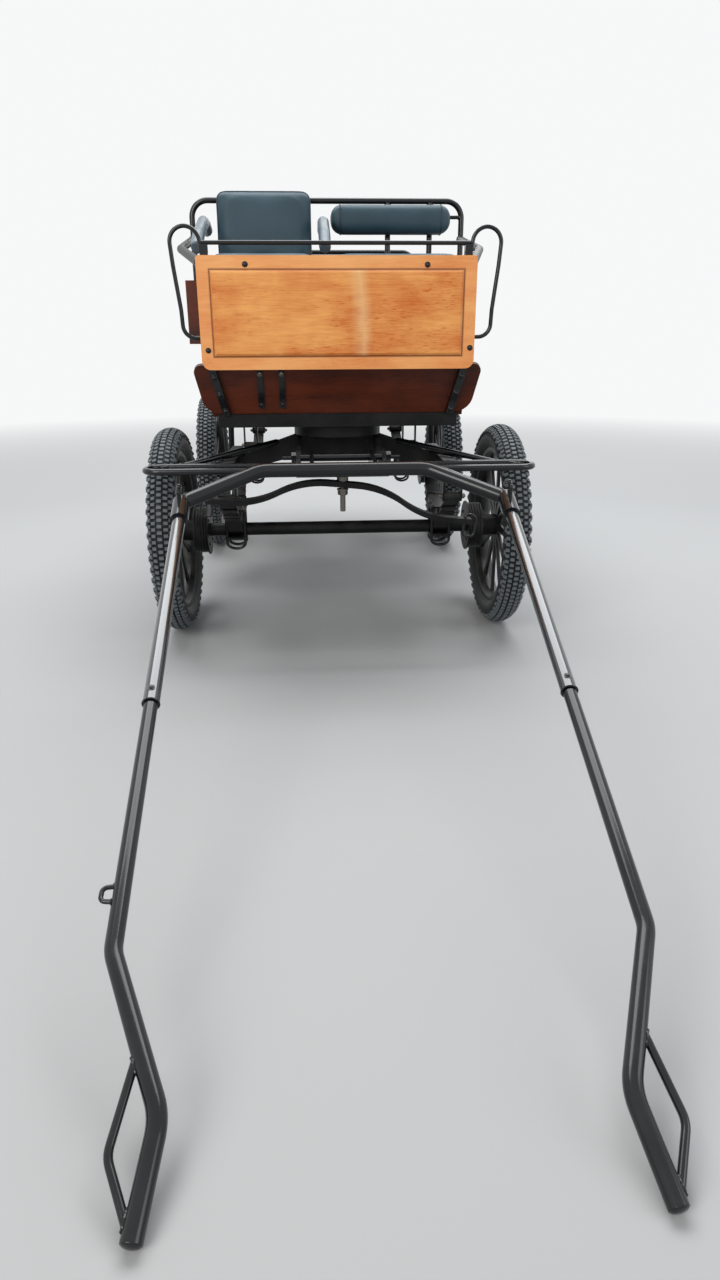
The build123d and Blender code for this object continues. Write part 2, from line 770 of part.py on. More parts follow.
def wheel_guard(side):
    """A flat loop of tube in front of a wheel with two stays back to the bolster."""
    inner = futchell_x + futchell_thickness / 2
    points = [(side * inner, guard_front_y, guard_z), (side * guard_tip_x, guard_front_y, guard_z),
              (side * guard_tip_x, guard_rear_y, guard_z), (side * inner, guard_rear_y, guard_z)]
    solid = bent_rod(points, guard_radius, [guard_bend, guard_bend])
    stays = rod((side * guard_stay_root, 0, bolster_top - 22), (side * guard_stay_tip, guard_rear_y, guard_z),
                guard_stay_radius)
    stays += rod((side * guard_brace_root, 0, side_rail_top + 8),
                 (side * guard_brace_tip, guard_rear_y - 30, guard_z), guard_brace_radius)
    bolster = (-bolster_width / 2, bolster_width / 2)
    stays -= block((-spring_x, spring_x), bolster, (bolster_top - 120, bolster_top))
    return solid + stays


def swing_bolt():
    """The bolt that the swingletree hangs on."""
    top = swing_top + swing_play
    under = swing_top - swing_thickness - 2 * swing_play
    solid = rod((0, swing_y, swing_bolt_end), (0, swing_y, nose_top), swing_bolt_radius)
    solid += rod((0, swing_y, nose_top), (0, swing_y, nose_top + 3), swing_nut_radius)
    solid += rod((0, swing_y, top), (0, swing_y, nose_top - nose_thickness), swing_washer_radius)
    solid += rod((0, swing_y, under - 4), (0, swing_y, under), swing_washer_radius)
    nut = Plane(origin=(0, swing_y, under - 4 - swing_nut_height)) * RegularPolygon(swing_nut_radius, 6)
    return solid + extrude(nut, swing_nut_height)


def swingletree():
    """A flat bar, high in the middle, that drops in two easy curves to its ends."""
    turn = 2 * atan2(swing_drop, swing_run)
    radius = swing_run / (2 * sin(turn))
    across = radius * sin(turn / 2)
    down = radius * (1 - cos(turn / 2))
    top_z = swing_top
    low_z = top_z - swing_drop
    end_x = swing_flat + swing_run
    middle = (swing_flat + swing_run / 2, top_z - swing_drop / 2)
    upper = Line((0, top_z), (swing_flat, top_z))
    upper += ThreePointArc((swing_flat, top_z), (swing_flat + across, top_z - down), middle)
    upper += ThreePointArc(middle, (end_x - across, low_z + down), (end_x, low_z))
    upper += Line((end_x, low_z), (swing_half, low_z))
    lower = Pos(0, -swing_thickness) * upper
    outline = upper + Line((swing_half, low_z), (swing_half, low_z - swing_thickness))
    outline += lower
    outline += Line((0, top_z - swing_thickness), (0, top_z))
    half_bar = extrude(Plane.XZ.offset(-swing_y - swing_depth / 2) * make_face(outline), swing_depth)
    solid = half_bar + mirrored(half_bar)
    solid -= rod((0, swing_y, top_z - 40), (0, swing_y, top_z + 5), swing_hole_radius)
    for side in (-1, 1):
        hole_x = side * (swing_half - trace_hole_inset)
        solid -= rod((hole_x, swing_y, top_z - 120), (hole_x, swing_y, top_z - 60), trace_ring_wire + 2)
    return Pos(0, 0, top_z) * Rot(0, swing_tilt, 0) * Pos(0, 0, -top_z) * solid


def trace_rings():
    """A long link at each end of the swingletree: one leg in the hole, the other past the bar's end."""
    bar_z = swing_top - swing_drop - swing_thickness / 2
    links = []
    for side in (-1, 1):
        inner, outer = side * (swing_half - trace_hole_inset), side * (swing_half + 14)
        upper, lower = bar_z + 19, bar_z - 48
        outline = FilletPolyline((inner, swing_y, upper), (outer, swing_y, upper), (outer, swing_y, lower),
                                 (inner, swing_y, lower), radius=14, close=True)
        section = Plane(origin=outline @ 0, z_dir=outline % 0) * Circle(trace_ring_wire)
        links.append(sweep(section, path=outline))
    both = Compound(children=links)
    return Pos(0, 0, swing_top) * Rot(0, swing_tilt, 0) * Pos(0, 0, -swing_top) * both


# Shafts


def shaft_plane():
    """The sloping plane of the shafts: x across, y from the root towards the tip."""
    return Plane(origin=(0, shaft_root_y, shaft_root_z), x_dir=(1, 0, 0), z_dir=(0, slope_sin, -slope_cos))


def in_shaft_plane(side, points):
    plane = shaft_plane()
    return [plane.from_local_coords((side * x, s, 0)) for x, s in points]


def shaft_at(s):
    """Half spacing of the straight stretch of the shafts at a distance from the root."""
    return shaft_root_x + (shaft_bend_x - shaft_root_x) * s / shaft_bend_s


def shaft_crossbar():
    """The bar across the shafts, its legs and sockets, and the lugs that hinge on the rod."""
    roots = [in_shaft_plane(side, [(shaft_root_x, 0)])[0] for side in (-1, 1)]
    points = [roots[0], (-crossbar_half, crossbar_y, crossbar_z), (crossbar_half, crossbar_y, crossbar_z),
              roots[1]]
    solid = bent_rod(points, crossbar_radius, [90, 90])
    for side in (-1, 1):
        start, end = in_shaft_plane(side, [(shaft_root_x, 0), (shaft_at(socket_length), socket_length)])
        solid += Pos(*start) * Sphere(socket_radius)
        solid += rod(start, end, socket_radius)
        mouth = socket_length + 5
        inner, outer = in_shaft_plane(side, [(shaft_at(20), 20), (shaft_at(mouth), mouth)])
        solid -= rod(inner, outer, sleeve_radius)
        for pin_s in socket_pins:
            foot = in_shaft_plane(side, [(shaft_at(pin_s), pin_s)])[0]
            solid += rod(foot + Vector(0, 0, sleeve_radius + 4), foot + Vector(0, 0, socket_pin_rise),
                         socket_pin_radius)
    for side in (-1, 1):
        plate = (side * lug_x - lug_thickness / 2, side * lug_x + lug_thickness / 2)
        solid += side_profile([(crossbar_y, crossbar_z + 19), (crossbar_y, crossbar_z - 19),
                               (hinge_y, hinge_z - lug_boss), (hinge_y, hinge_z + lug_boss)], plate)
        solid += cross_rod(plate, hinge_y, hinge_z, lug_boss)
    bore = hinge_rod_radius + hinge_clearance
    solid -= cross_rod((-hinge_rod_half, hinge_rod_half), hinge_y, hinge_z, bore)
    return solid


def shaft_sleeve(side):
    """The rear tube of a shaft, from its socket to where the front tube slides in."""
    start, end, hollow = in_shaft_plane(side, [(shaft_at(20), 20), (shaft_at(sleeve_length), sleeve_length),
                                               (shaft_at(sleeve_length - sleeve_overlap),
                                                sleeve_length - sleeve_overlap)])
    return rod(start, end, sleeve_radius) - rod(hollow, end, shaft_radius)


def shaft_tip(side):
    """The front tube of a shaft: straight, bent inwards and out again, with a bow on its outer side."""
    start_s = sleeve_length - sleeve_overlap
    points = in_shaft_plane(side, [(shaft_at(start_s), start_s), (shaft_bend_x, shaft_bend_s),
                                   (shaft_waist_x, shaft_waist_s), (shaft_tip_x, shaft_length)])
    solid = bent_rod(points, shaft_radius, [70, 90])
    bow = [(shaft_waist_x + 38, shaft_waist_s - 90), (shaft_waist_x + 59, shaft_waist_s + 42),
           (shaft_tip_x + 6, shaft_length - 13)]
    solid += bent_rod(in_shaft_plane(side, bow), loop_radius, 40)
    if side < 0:
        edge = shaft_at(staple_s) + shaft_radius
        staple = in_shaft_plane(side, [(edge - 4, staple_s - 14), (edge + 18, staple_s - 12),
                                       (edge + 18, staple_s + 12), (edge - 4, staple_s + 14)])
        solid += bent_rod(staple, 4, [9, 9])
    return solid


def wheel_at(shape, side, station_y, axle_z):
    """Set a wheel piece at its hub, turned so that its outer side faces outwards."""
    turned = shape if side > 0 else mirrored(shape)
    return Pos(side * wheel_x, station_y, axle_z) * turned


def build():
    pieces = {
        "chassis_frame": chassis_frame(),
        "turntable_upper_ring": ring(upper_ring_bottom),
        "dash_frame": dash_frame(),
        "dash_panel": dash_panel(),
        "toe_board": toe_board(),
        "brake_pedals": brake_pedals(),
        "floor_panel": floor_panel(),
        "rear_panel": rear_panel(),
        "front_seat_box": seat_box(seat_box_half, seat_box_front, seat_box_rear, side_sill_z, seat_box_top),
        "driver_cushion": cushion(driver_x, driver_width, cushion_front, driver_cushion_rear, seat_box_top),
        "driver_backrest": driver_backrest(),
        "passenger_cushion": cushion(passenger_x, passenger_width, cushion_front, cushion_rear, seat_box_top),
        "passenger_backrest": passenger_backrest(),
        "seat_hoop": seat_hoop(),
        "rear_seat_box": seat_box(rear_box_half, rear_box_front, rear_box_rear - 8, side_sill_z,
                                  rear_box_top),
        "rear_cushion": cushion(0, 2 * rear_cushion_half, rear_box_front - rear_cushion_overhang,
                                rear_box_rear - rear_cushion_setback, rear_box_top),
        "rear_backrest": rear_backrest(),
        "rear_seat_rail": rear_seat_rail(),
        "turntable_lower_ring": ring(bolster_top),
        "kingpin": kingpin(),
        "front_carriage_frame": front_frame(),
        "front_axle": axle(front_axle_z, 0),
        "shaft_hinge_rod": hinge_rod(),
        "swingletree_bolt": swing_bolt(),
        "swingletree": swingletree(),
        "trace_rings": trace_rings(),
        "shaft_crossbar": shaft_crossbar(),
        "rear_axle": axle(rear_axle_z, wheelbase),
    }
    for side, name in ((1, "left"), (-1, "right")):
        pieces[name + "_side_panel"] = side_panel(side)
        pieces[name + "_side_rail"] = side_rail(side)
        pieces[name + "_step"] = side_step(side)
        pieces[name + "_wheel_guard"] = wheel_guard(side)
        pieces[name + "_shaft_sleeve"] = shaft_sleeve(side)
        pieces[name + "_shaft"] = shaft_tip(side)
        pieces[name + "_armrest"] = armrest(driver_x + side * arm_half_spacing)
        pieces["front_" + name + "_spring"] = Pos(side * spring_x, 0, 0) * spring(
            front_axle_z, 0, front_spring_half, front_camber)
        pieces["rear_" + name + "_spring"] = Pos(side * spring_x, 0, 0) * spring(
            rear_axle_z, wheelbase, rear_spring_half, rear_camber)
        axles = (("front", 0, front_wheel_radius), ("rear", wheelbase, rear_wheel_radius))
        for end, station, radius in axles:
            pieces[end + "_" + name + "_tyre"] = wheel_at(tyre(radius), side, station, radius)
            pieces[end + "_" + name + "_wheel"] = wheel_at(wheel(radius), side, station, radius)
    return pieces


os.makedirs("parts", exist_ok=True)
for node, shape in build().items():
    export_step(place(shape), "parts/" + node + ".step")
print("row_shift", row_shift)
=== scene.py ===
import json
import math
import bmesh
import bpy
import numpy as np
from mathutils import Matrix, Vector
from mathutils.bvhtree import BVHTree


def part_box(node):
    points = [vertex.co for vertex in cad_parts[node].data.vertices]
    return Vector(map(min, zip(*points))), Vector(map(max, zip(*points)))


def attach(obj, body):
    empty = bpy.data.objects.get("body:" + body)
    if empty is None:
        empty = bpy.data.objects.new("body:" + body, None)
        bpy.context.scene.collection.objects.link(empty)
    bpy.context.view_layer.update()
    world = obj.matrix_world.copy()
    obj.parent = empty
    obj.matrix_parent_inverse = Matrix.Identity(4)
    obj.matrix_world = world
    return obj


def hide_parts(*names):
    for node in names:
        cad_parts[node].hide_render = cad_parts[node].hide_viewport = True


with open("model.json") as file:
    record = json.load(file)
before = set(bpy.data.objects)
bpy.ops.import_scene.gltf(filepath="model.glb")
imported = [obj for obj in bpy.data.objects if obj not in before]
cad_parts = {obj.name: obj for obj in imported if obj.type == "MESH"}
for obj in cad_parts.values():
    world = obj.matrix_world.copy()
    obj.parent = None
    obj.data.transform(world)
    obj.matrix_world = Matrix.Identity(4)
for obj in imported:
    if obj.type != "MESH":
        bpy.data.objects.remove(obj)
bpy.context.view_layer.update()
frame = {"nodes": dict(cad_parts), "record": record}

slotOf = {part["node"]: part["material_slot"] for part in frame["record"]["subparts"]}


def boxOf(node):  # centre and half size of a CAD node's box
    low, high = np.array(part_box(node), dtype=float)
    return (low + high) / 2, (high - low) / 2


frontAxleY, rearAxleY = (boxOf(node)[0][1] for node in ("front_axle", "rear_axle"))


def at(x, y, z):  # a place counted from the front axle, in metres
    return np.array([x, y + frontAxleY, z])


def newObject(name, data):
    obj = bpy.data.objects.new(name, data)
    bpy.context.collection.objects.link(obj)
    return obj


# Camera, floor and light

camera = {
    "place": (-0.0939, -2.8260, 0.996),  # from the middle of the front axle, height from the floor
    "turn": 3.41, "tilt": 20.84, "roll": 0.27,  # degrees: towards +X, downwards, clockwise
    "lens": 22.705, "sensor": 36.0,  # millimetres, the sensor on the long side
    "clip": (0.05, 60),
}


def placeCamera():
    cam = bpy.data.cameras.new("camera")
    cam.lens, cam.sensor_width, cam.sensor_fit = camera["lens"], camera["sensor"], "AUTO"
    cam.clip_start, cam.clip_end = camera["clip"]
    obj = newObject("camera", cam)
    turn, tilt = math.radians(camera["turn"]), math.radians(camera["tilt"])
    look = Vector((math.sin(turn) * math.cos(tilt), math.cos(turn) * math.cos(tilt), -math.sin(tilt)))
    side = look.cross(Vector((0, 0, 1))).normalized()
    up = side.cross(look)
    roll = Matrix.Rotation(math.radians(camera["roll"]), 4, look)
    basis = Matrix((side, up, -look)).transposed().to_4x4()
    obj.matrix_world = Matrix.Translation(at(*camera["place"])) @ roll @ basis
    bpy.context.scene.camera = obj


light = {
    "lamps": {
        # place, aim, width and length, watts, colour
        "overhead": ((0.0, 1.7, 5.0), (0, 0.9, 0), (6.8, 3.4), 350, (0.95, 0.98, 1.0)),
        "key": ((-3.0, -4.6, 3.4), (0, 0.3, 0.8), (3.0, 3.0), 175, (1.0, 0.98, 0.95)),
        "fill": ((4.2, -2.6, 2.6), (0, 0.5, 0.8), (2.6, 2.6), 50, (0.95, 0.97, 1.0)),
        "rim": ((0.8, 5.2, 3.0), (0, 0.6, 0.9), (3.0, 2.0), 40, (1.0, 1.0, 1.0)),
    },
    "sky": (0.88, 0.93, 1.0), "skyStrength": 0.35,
    "backdrop": (0.93, 0.935, 0.94), "floor": (0.44, 0.44, 0.435), "floorRoughness": 0.85, "floorHalf": 16.0,
    "fadeStart": 3.2, "fadeEnd": 8.5,  # metres from the middle, where the floor melts into the backdrop
}


def put(tree, socket, value):  # gives a socket a plain value, or a link from another node's output
    if isinstance(value, bpy.types.NodeSocket):
        tree.links.new(value, socket)
    else:
        socket.default_value = value


def give(tree, node, **values):  # the same for a node's inputs by name; an underscore stands for a space
    for label, value in values.items():
        put(tree, node.inputs[label.replace("_", " ")], value)
    return node


def addNode(tree, kind, settings=None, **values):
    node = tree.nodes.new(kind)
    for key, value in (settings or {}).items():
        setattr(node, key, value)
    return give(tree, node, **values)


def mathNode(tree, operation, a, b=0.0):
    node = addNode(tree, "ShaderNodeMath", {"operation": operation})
    put(tree, node.inputs[0], a)
    put(tree, node.inputs[1], b)
    return node.outputs[0]


def multiply(tree, a, b):
    return mathNode(tree, "MULTIPLY", a, b)


def rangeOf(tree, value, fromLow, fromHigh, toLow=0.0, toHigh=1.0):
    node = tree.nodes.new("ShaderNodeMapRange")
    for socket, number in zip(node.inputs, (value, fromLow, fromHigh, toLow, toHigh)):
        put(tree, socket, number)
    return node.outputs[0]


def objectPlace(tree):
    return addNode(tree, "ShaderNodeTexCoord").outputs["Object"]


def seenRays(tree):  # camera, glossy and transmission rays see the backdrop
    path = tree.nodes.new("ShaderNodeLightPath")
    value = path.outputs["Is Camera Ray"]
    for name in ("Is Glossy Ray", "Is Transmission Ray"):
        value = mathNode(tree, "MAXIMUM", value, path.outputs[name])
    return value


def mixShaders(tree, factor, first, second, end):  # the second one shows where the factor is 1
    mix = tree.nodes.new("ShaderNodeMixShader")
    for socket, value in zip(mix.inputs, (factor, first.outputs[0], second.outputs[0])):
        tree.links.new(value, socket)
    tree.links.new(mix.outputs[0], tree.nodes[end].inputs["Surface"])


def placeLights():
    for name, (place, aim, size, power, colour) in light["lamps"].items():
        lamp = bpy.data.lights.new(name, "AREA")
        lamp.shape, (lamp.size, lamp.size_y) = "RECTANGLE", size
        lamp.energy, lamp.color = power, colour
        obj = newObject(name, lamp)
        obj.location = place
        obj.rotation_euler = (Vector(aim) - Vector(place)).to_track_quat("-Z", "Y").to_euler()
    world = bpy.data.worlds.new("studio")
    bpy.context.scene.world = world
    world.use_nodes = True
    tree = world.node_tree
    back = give(tree, tree.nodes["Background"], Color=(*light["sky"], 1), Strength=light["skyStrength"])
    seen = addNode(tree, "ShaderNodeBackground", Color=(*light["backdrop"], 1))
    mixShaders(tree, seenRays(tree), back, seen, "World Output")


def startMaterial(name, **values):
    mat = bpy.data.materials.new(name)
    mat.use_nodes = True
    tree = mat.node_tree
    return mat, tree, give(tree, tree.nodes["Principled BSDF"], **values)


def makeFloor():
    half = light["floorHalf"]
    mesh = bpy.data.meshes.new("studioFloor")
    mesh.from_pydata([(-half, -half, 0), (half, -half, 0), (half, half, 0), (-half, half, 0)], [], [(0, 1, 2, 3)])
    obj = newObject("studioFloor", mesh)
    mat, tree, shader = startMaterial("studioFloor", Base_Color=(*light["floor"], 1),
                                      Roughness=light["floorRoughness"])
    far = addNode(tree, "ShaderNodeVectorMath", {"operation": "LENGTH"}, Vector=objectPlace(tree))
    fade = rangeOf(tree, far.outputs["Value"], light["fadeStart"], light["fadeEnd"])
    glow = addNode(tree, "ShaderNodeEmission", Color=(*light["backdrop"], 1))
    mixShaders(tree, multiply(tree, fade, seenRays(tree)), shader, glow, "Material Output")
    mesh.materials.append(mat)


placeCamera()
placeLights()
makeFloor()
print("camera, lights and floor are in place")


# Shader node groups that several materials share

def srgb(r, g, b):  # 0-255 display colour to linear
    c = np.array([r, g, b]) / 255.0
    lin = np.where(c <= 0.04045, c / 12.92, ((c + 0.055) / 1.055) ** 2.4)
    return (*lin.tolist(), 1.0)


def newGroup(name, inputs, outputs, **values):  # the values are those that an input has where none is given
    group = bpy.data.node_groups.new(name, "ShaderNodeTree")
    for way, labels in (("INPUT", inputs), ("OUTPUT", outputs)):
        for label in labels:
            kind = "NodeSocketColor" if "Color" in label else "NodeSocketFloat"
            socket = group.interface.new_socket(label, in_out=way, socket_type=kind)
            if label in values:
                socket.default_value = values[label]
    return group, group.nodes.new("NodeGroupInput").outputs, group.nodes.new("NodeGroupOutput")


def noiseOf(tree, stretch=(1, 1, 1), where=None, **values):
    # noise on Object coordinates, or on the given ones, stretched along the axes
    mapping = addNode(tree, "ShaderNodeMapping", Scale=stretch, Vector=where or objectPlace(tree))
    return addNode(tree, "ShaderNodeTexNoise", Vector=mapping.outputs[0], **values).outputs["Fac"]


def axesOf(tree, vector):
    return addNode(tree, "ShaderNodeSeparateXYZ", Vector=vector).outputs


def mixColour(tree, factor, a, b):  # a and b are sockets or colours
    node = addNode(tree, "ShaderNodeMix", {"data_type": "RGBA"}, Factor=factor)
    put(tree, node.inputs[6], a)
    put(tree, node.inputs[7], b)
    return node.outputs[2]


def dustGroup():
    # dust lies on faces that look up, more of it near the ground, in patches of noise
    group, given, end = newGroup("dustFilm", (
        "Color", "Dust Color", "Amount", "Scale", "Clean Roughness", "Dusty Roughness"), ("Color", "Roughness"))
    noise = noiseOf(group, Scale=given["Scale"], Detail=6.0, Roughness=0.62)
    facing = axesOf(group, addNode(group, "ShaderNodeNewGeometry").outputs["Normal"])
    upward = rangeOf(group, facing["Z"], -0.6, 1.0, 0.25, 1.0)
    low = rangeOf(group, axesOf(group, objectPlace(group))["Z"], 0.9, 0.1, 0.45, 1.0)
    mask = rangeOf(group, noise, 0.38, 0.68)
    for factor in (upward, low, given["Amount"]):
        mask = multiply(group, mask, factor)
    give(group, end, Color=mixColour(group, mask, given["Color"], given["Dust Color"]),
         Roughness=rangeOf(group, mask, 0.0, 0.5, given["Clean Roughness"], given["Dusty Roughness"]))
    return group


def scuffGroup():
    # thin scratches and chips: two stretched noises, cut at a high level
    group, given, end = newGroup("scuffs", ("Color", "Level"), ("Color",))
    fine = noiseOf(group, (5, 1, 2.2), Scale=48.0, Detail=5.0, Roughness=0.7)
    broad = noiseOf(group, Scale=6.0, Detail=2.0)
    both = mathNode(group, "ADD", multiply(group, fine, 0.6), multiply(group, broad, 0.4))
    mask = rangeOf(group, both, given["Level"], mathNode(group, "ADD", given["Level"], 0.03))
    give(group, end, Color=mixColour(group, mask, given["Color"], srgb(96, 92, 86)))
    return group


def grainGroup():
    # long soft figure from stretched noise, fine pores, short dark strokes and broad blotches; the grain runs
    # along X, or along Y where Side is 1, because X and Y then change places
    group, given, end = newGroup("woodGrain", (
        "Light Color", "Dark Color", "Scale", "Contrast", "Pores", "Side"), ("Color", "Height"),
        Scale=1.0, Contrast=1.0)
    axes = axesOf(group, objectPlace(group))
    along, across = (rangeOf(group, given["Side"], 0.0, 1.0, axes[a], axes[b]) for a, b in ("XY", "YX"))
    where = addNode(group, "ShaderNodeCombineXYZ", X=along, Y=across, Z=axes["Z"]).outputs[0]
    broad = noiseOf(group, (1.3, 9.0, 9.0), where, Scale=given["Scale"], Detail=3.0, Roughness=0.5, Distortion=1.1)
    streak = noiseOf(group, (3.0, 60.0, 60.0), where, Detail=4.0, Roughness=0.6, Distortion=0.4)
    fine = noiseOf(group, (9.0, 260.0, 260.0), where, Detail=3.0, Roughness=0.6)
    blotch = noiseOf(group, (1, 1, 1.6), where, Scale=6.0, Detail=2.5, Roughness=0.55)
    strokes = noiseOf(group, (8.0, 75.0, 75.0), where, Detail=1.5, Roughness=0.5)
    body = 0.0
    # noise, the range of it that shows, its share
    for noise, low, high, share in (
            (broad, 0.36, 0.64, 0.40), (blotch, 0.38, 0.62, 0.36), (streak, 0.38, 0.66, 0.24)):
        body = mathNode(group, "ADD", body, multiply(group, rangeOf(group, noise, low, high), share))
    marks = multiply(group, rangeOf(group, strokes, 0.60, 0.70), rangeOf(group, broad, 0.4, 0.6))
    worn = mathNode(group, "MAXIMUM", rangeOf(group, fine, 0.52, 0.75), multiply(group, marks, 2.2))
    pores = multiply(group, worn, given["Pores"])
    bands = multiply(group, mathNode(group, "ADD", body, pores), given["Contrast"])
    give(group, end, Color=mixColour(group, bands, given["Light Color"], given["Dark Color"]), Height=fine)
    return group


def pebbleGroup():
    # leathery pebble: distance to the edges of small cells
    group, _, end = newGroup("pebble", (), ("Height", "Shade"))
    cells = addNode(group, "ShaderNodeTexVoronoi", {"feature": "DISTANCE_TO_EDGE"}, Vector=objectPlace(group),
                    Scale=430.0)
    soft = noiseOf(group, Scale=7.0, Detail=3.0)
    give(group, end, Height=rangeOf(group, cells.outputs["Distance"], 0.0, 0.12),
         Shade=rangeOf(group, soft, 0.3, 0.7))
    return group


groups = {"dust": dustGroup(), "scuff": scuffGroup(), "grain": grainGroup(), "pebble": pebbleGroup()}


# Materials

def placeGroup(tree, key, **values):
    node = tree.nodes.new("ShaderNodeGroup")
    node.node_tree = groups[key]
    return give(tree, node, **values).outputs


def addDust(tree, shader, colour, amount, scale, roughness, dusty, dustColour):
    film = placeGroup(tree, "dust", Color=colour, Amount=amount, Scale=scale, Clean_Roughness=roughness,
                      Dusty_Roughness=dusty, Dust_Color=dustColour)
    give(tree, shader, Base_Color=film["Color"], Roughness=film["Roughness"])


def addBump(tree, shader, height, strength, distance):
    bump = addNode(tree, "ShaderNodeBump", Strength=strength, Distance=distance, Height=height)
    give(tree, shader, Normal=bump.outputs[0])


def paintedSteel(name, colour, dust, roughness, coat, scuffLevel=0.66, shine=0.5):
    mat, tree, shader = startMaterial(name, Coat_Weight=coat, Coat_Roughness=0.1, Specular_IOR_Level=shine)
    scuff = placeGroup(tree, "scuff", Color=colour, Level=scuffLevel)
    addDust(tree, shader, scuff["Color"], dust, 14.0, roughness, 0.6, srgb(124, 121, 114))
    addBump(tree, shader, noiseOf(tree, Scale=160.0, Detail=2.0), 0.08, 0.0005)
    return mat


def bareSteel(name, colour, roughness, dirt=0.5):
    mat, tree, shader = startMaterial(name, Metallic=1.0)
    addDust(tree, shader, colour, dirt, 60.0, roughness, 0.6, srgb(86, 74, 62))
    return mat


def varnishedWood(name, colours, roughness, coat, pores=0.2, side=0.0):
    mat, tree, shader = startMaterial(name, Roughness=roughness, Coat_Weight=coat, Coat_Roughness=0.16,
                                      Specular_IOR_Level=0.26)
    grain = placeGroup(tree, "grain", Light_Color=colours[0], Dark_Color=colours[1], Pores=pores, Side=side)
    give(tree, shader, Base_Color=grain["Color"])
    addBump(tree, shader, grain["Height"], 0.12, 0.0006)
    return mat


dashFinish = {
    "field": (srgb(255, 186, 104), srgb(208, 104, 32)), "margin": (srgb(255, 186, 116), srgb(228, 136, 70)),
    # the dark line at the bevel is a painted shade line
    "border": 0.037, "seam": 0.0045,  # metres: width of the plain margin, and of the dark line at the bevel
    "seamColour": srgb(92, 42, 16),
    # a painted reflection, a pale upright streak on the field: place and half width
    "streak": (0.062, 0.036), "streakColour": srgb(255, 218, 160), "streakShare": 0.42,
}


def dashWood(name):
    # the margin is paler than the field, and a painted shade line darkens the corner where the bevel starts
    mat, tree, shader = startMaterial(name, Roughness=0.36, Coat_Weight=0.3, Coat_Roughness=0.16,
                                      Specular_IOR_Level=0.3)
    v = dashFinish
    field = placeGroup(tree, "grain", Light_Color=v["field"][0], Dark_Color=v["field"][1], Contrast=1.08, Pores=0.32)
    margin = placeGroup(tree, "grain", Light_Color=v["margin"][0], Dark_Color=v["margin"][1], Contrast=0.9,
                        Pores=0.18, Scale=1.7)
    axes = axesOf(tree, objectPlace(tree))
    centre, half = boxOf("dash_panel")
    inside = []  # distance from each edge of the board, less the border
    for k in (0, 2):
        away = mathNode(tree, "ABSOLUTE", mathNode(tree, "SUBTRACT", axes[k], centre[k]))
        inside.append(mathNode(tree, "SUBTRACT", half[k] - v["border"], away))
    depth = mathNode(tree, "MINIMUM", *inside)
    fieldMask = rangeOf(tree, depth, -0.001, 0.001)
    colour = mixColour(tree, fieldMask, margin["Color"], field["Color"])
    wave = noiseOf(tree, (1, 1, 0.4), Scale=12.0, Detail=2.0)
    # painted reflection: a pale upright streak with wavy edges, laid over the field only
    place, reach = v["streak"]
    aside = mathNode(tree, "ADD", mathNode(tree, "SUBTRACT", axes["X"], place),
                     rangeOf(tree, wave, 0.3, 0.7, -0.016, 0.016))
    streak = rangeOf(tree, mathNode(tree, "ABSOLUTE", aside), reach, 0.0, 0.0, v["streakShare"])
    colour = mixColour(tree, multiply(tree, streak, fieldMask), colour, v["streakColour"])
    # painted shade: a dark line along the edge of the field, where the bevel starts
    bevelShade = rangeOf(tree, mathNode(tree, "ABSOLUTE", depth), v["seam"], 0.0, 0.0, 0.9)
    give(tree, shader, Base_Color=mixColour(tree, bevelShade, colour, v["seamColour"]))
    addBump(tree, shader, field["Height"], 0.1, 0.0005)
    return mat


def seatVinyl(name, colour, paleColour, roughness, coat=0.0):
    mat, tree, shader = startMaterial(name, Roughness=roughness, Specular_IOR_Level=0.35, Coat_Weight=coat,
                                      Coat_Roughness=0.2)
    grain = placeGroup(tree, "pebble")
    give(tree, shader, Base_Color=mixColour(tree, grain["Shade"], colour, paleColour))
    addBump(tree, shader, grain["Height"], 0.3, 0.0005)
    return mat


def rubber(name, colour, dust, dustColour, roughness=0.66, topColour=None, shine=0.3):
    mat, tree, shader = startMaterial(name, Specular_IOR_Level=shine)
    if topColour:  # paler where the mesh attribute says that a knob stands up: partly wear and dust, partly a painted highlight against the dark grooves
        raised = addNode(tree, "ShaderNodeAttribute", {"attribute_name": "raised"}).outputs["Fac"]
        colour = mixColour(tree, raised, colour, topColour)
        dust = rangeOf(tree, raised, 0.0, 1.0, dust * 0.5, dust)
    addDust(tree, shader, colour, dust, 22.0, roughness, 0.9, dustColour)
    addBump(tree, shader, noiseOf(tree, Scale=300.0, Detail=3.0), 0.25, 0.001)
    return mat


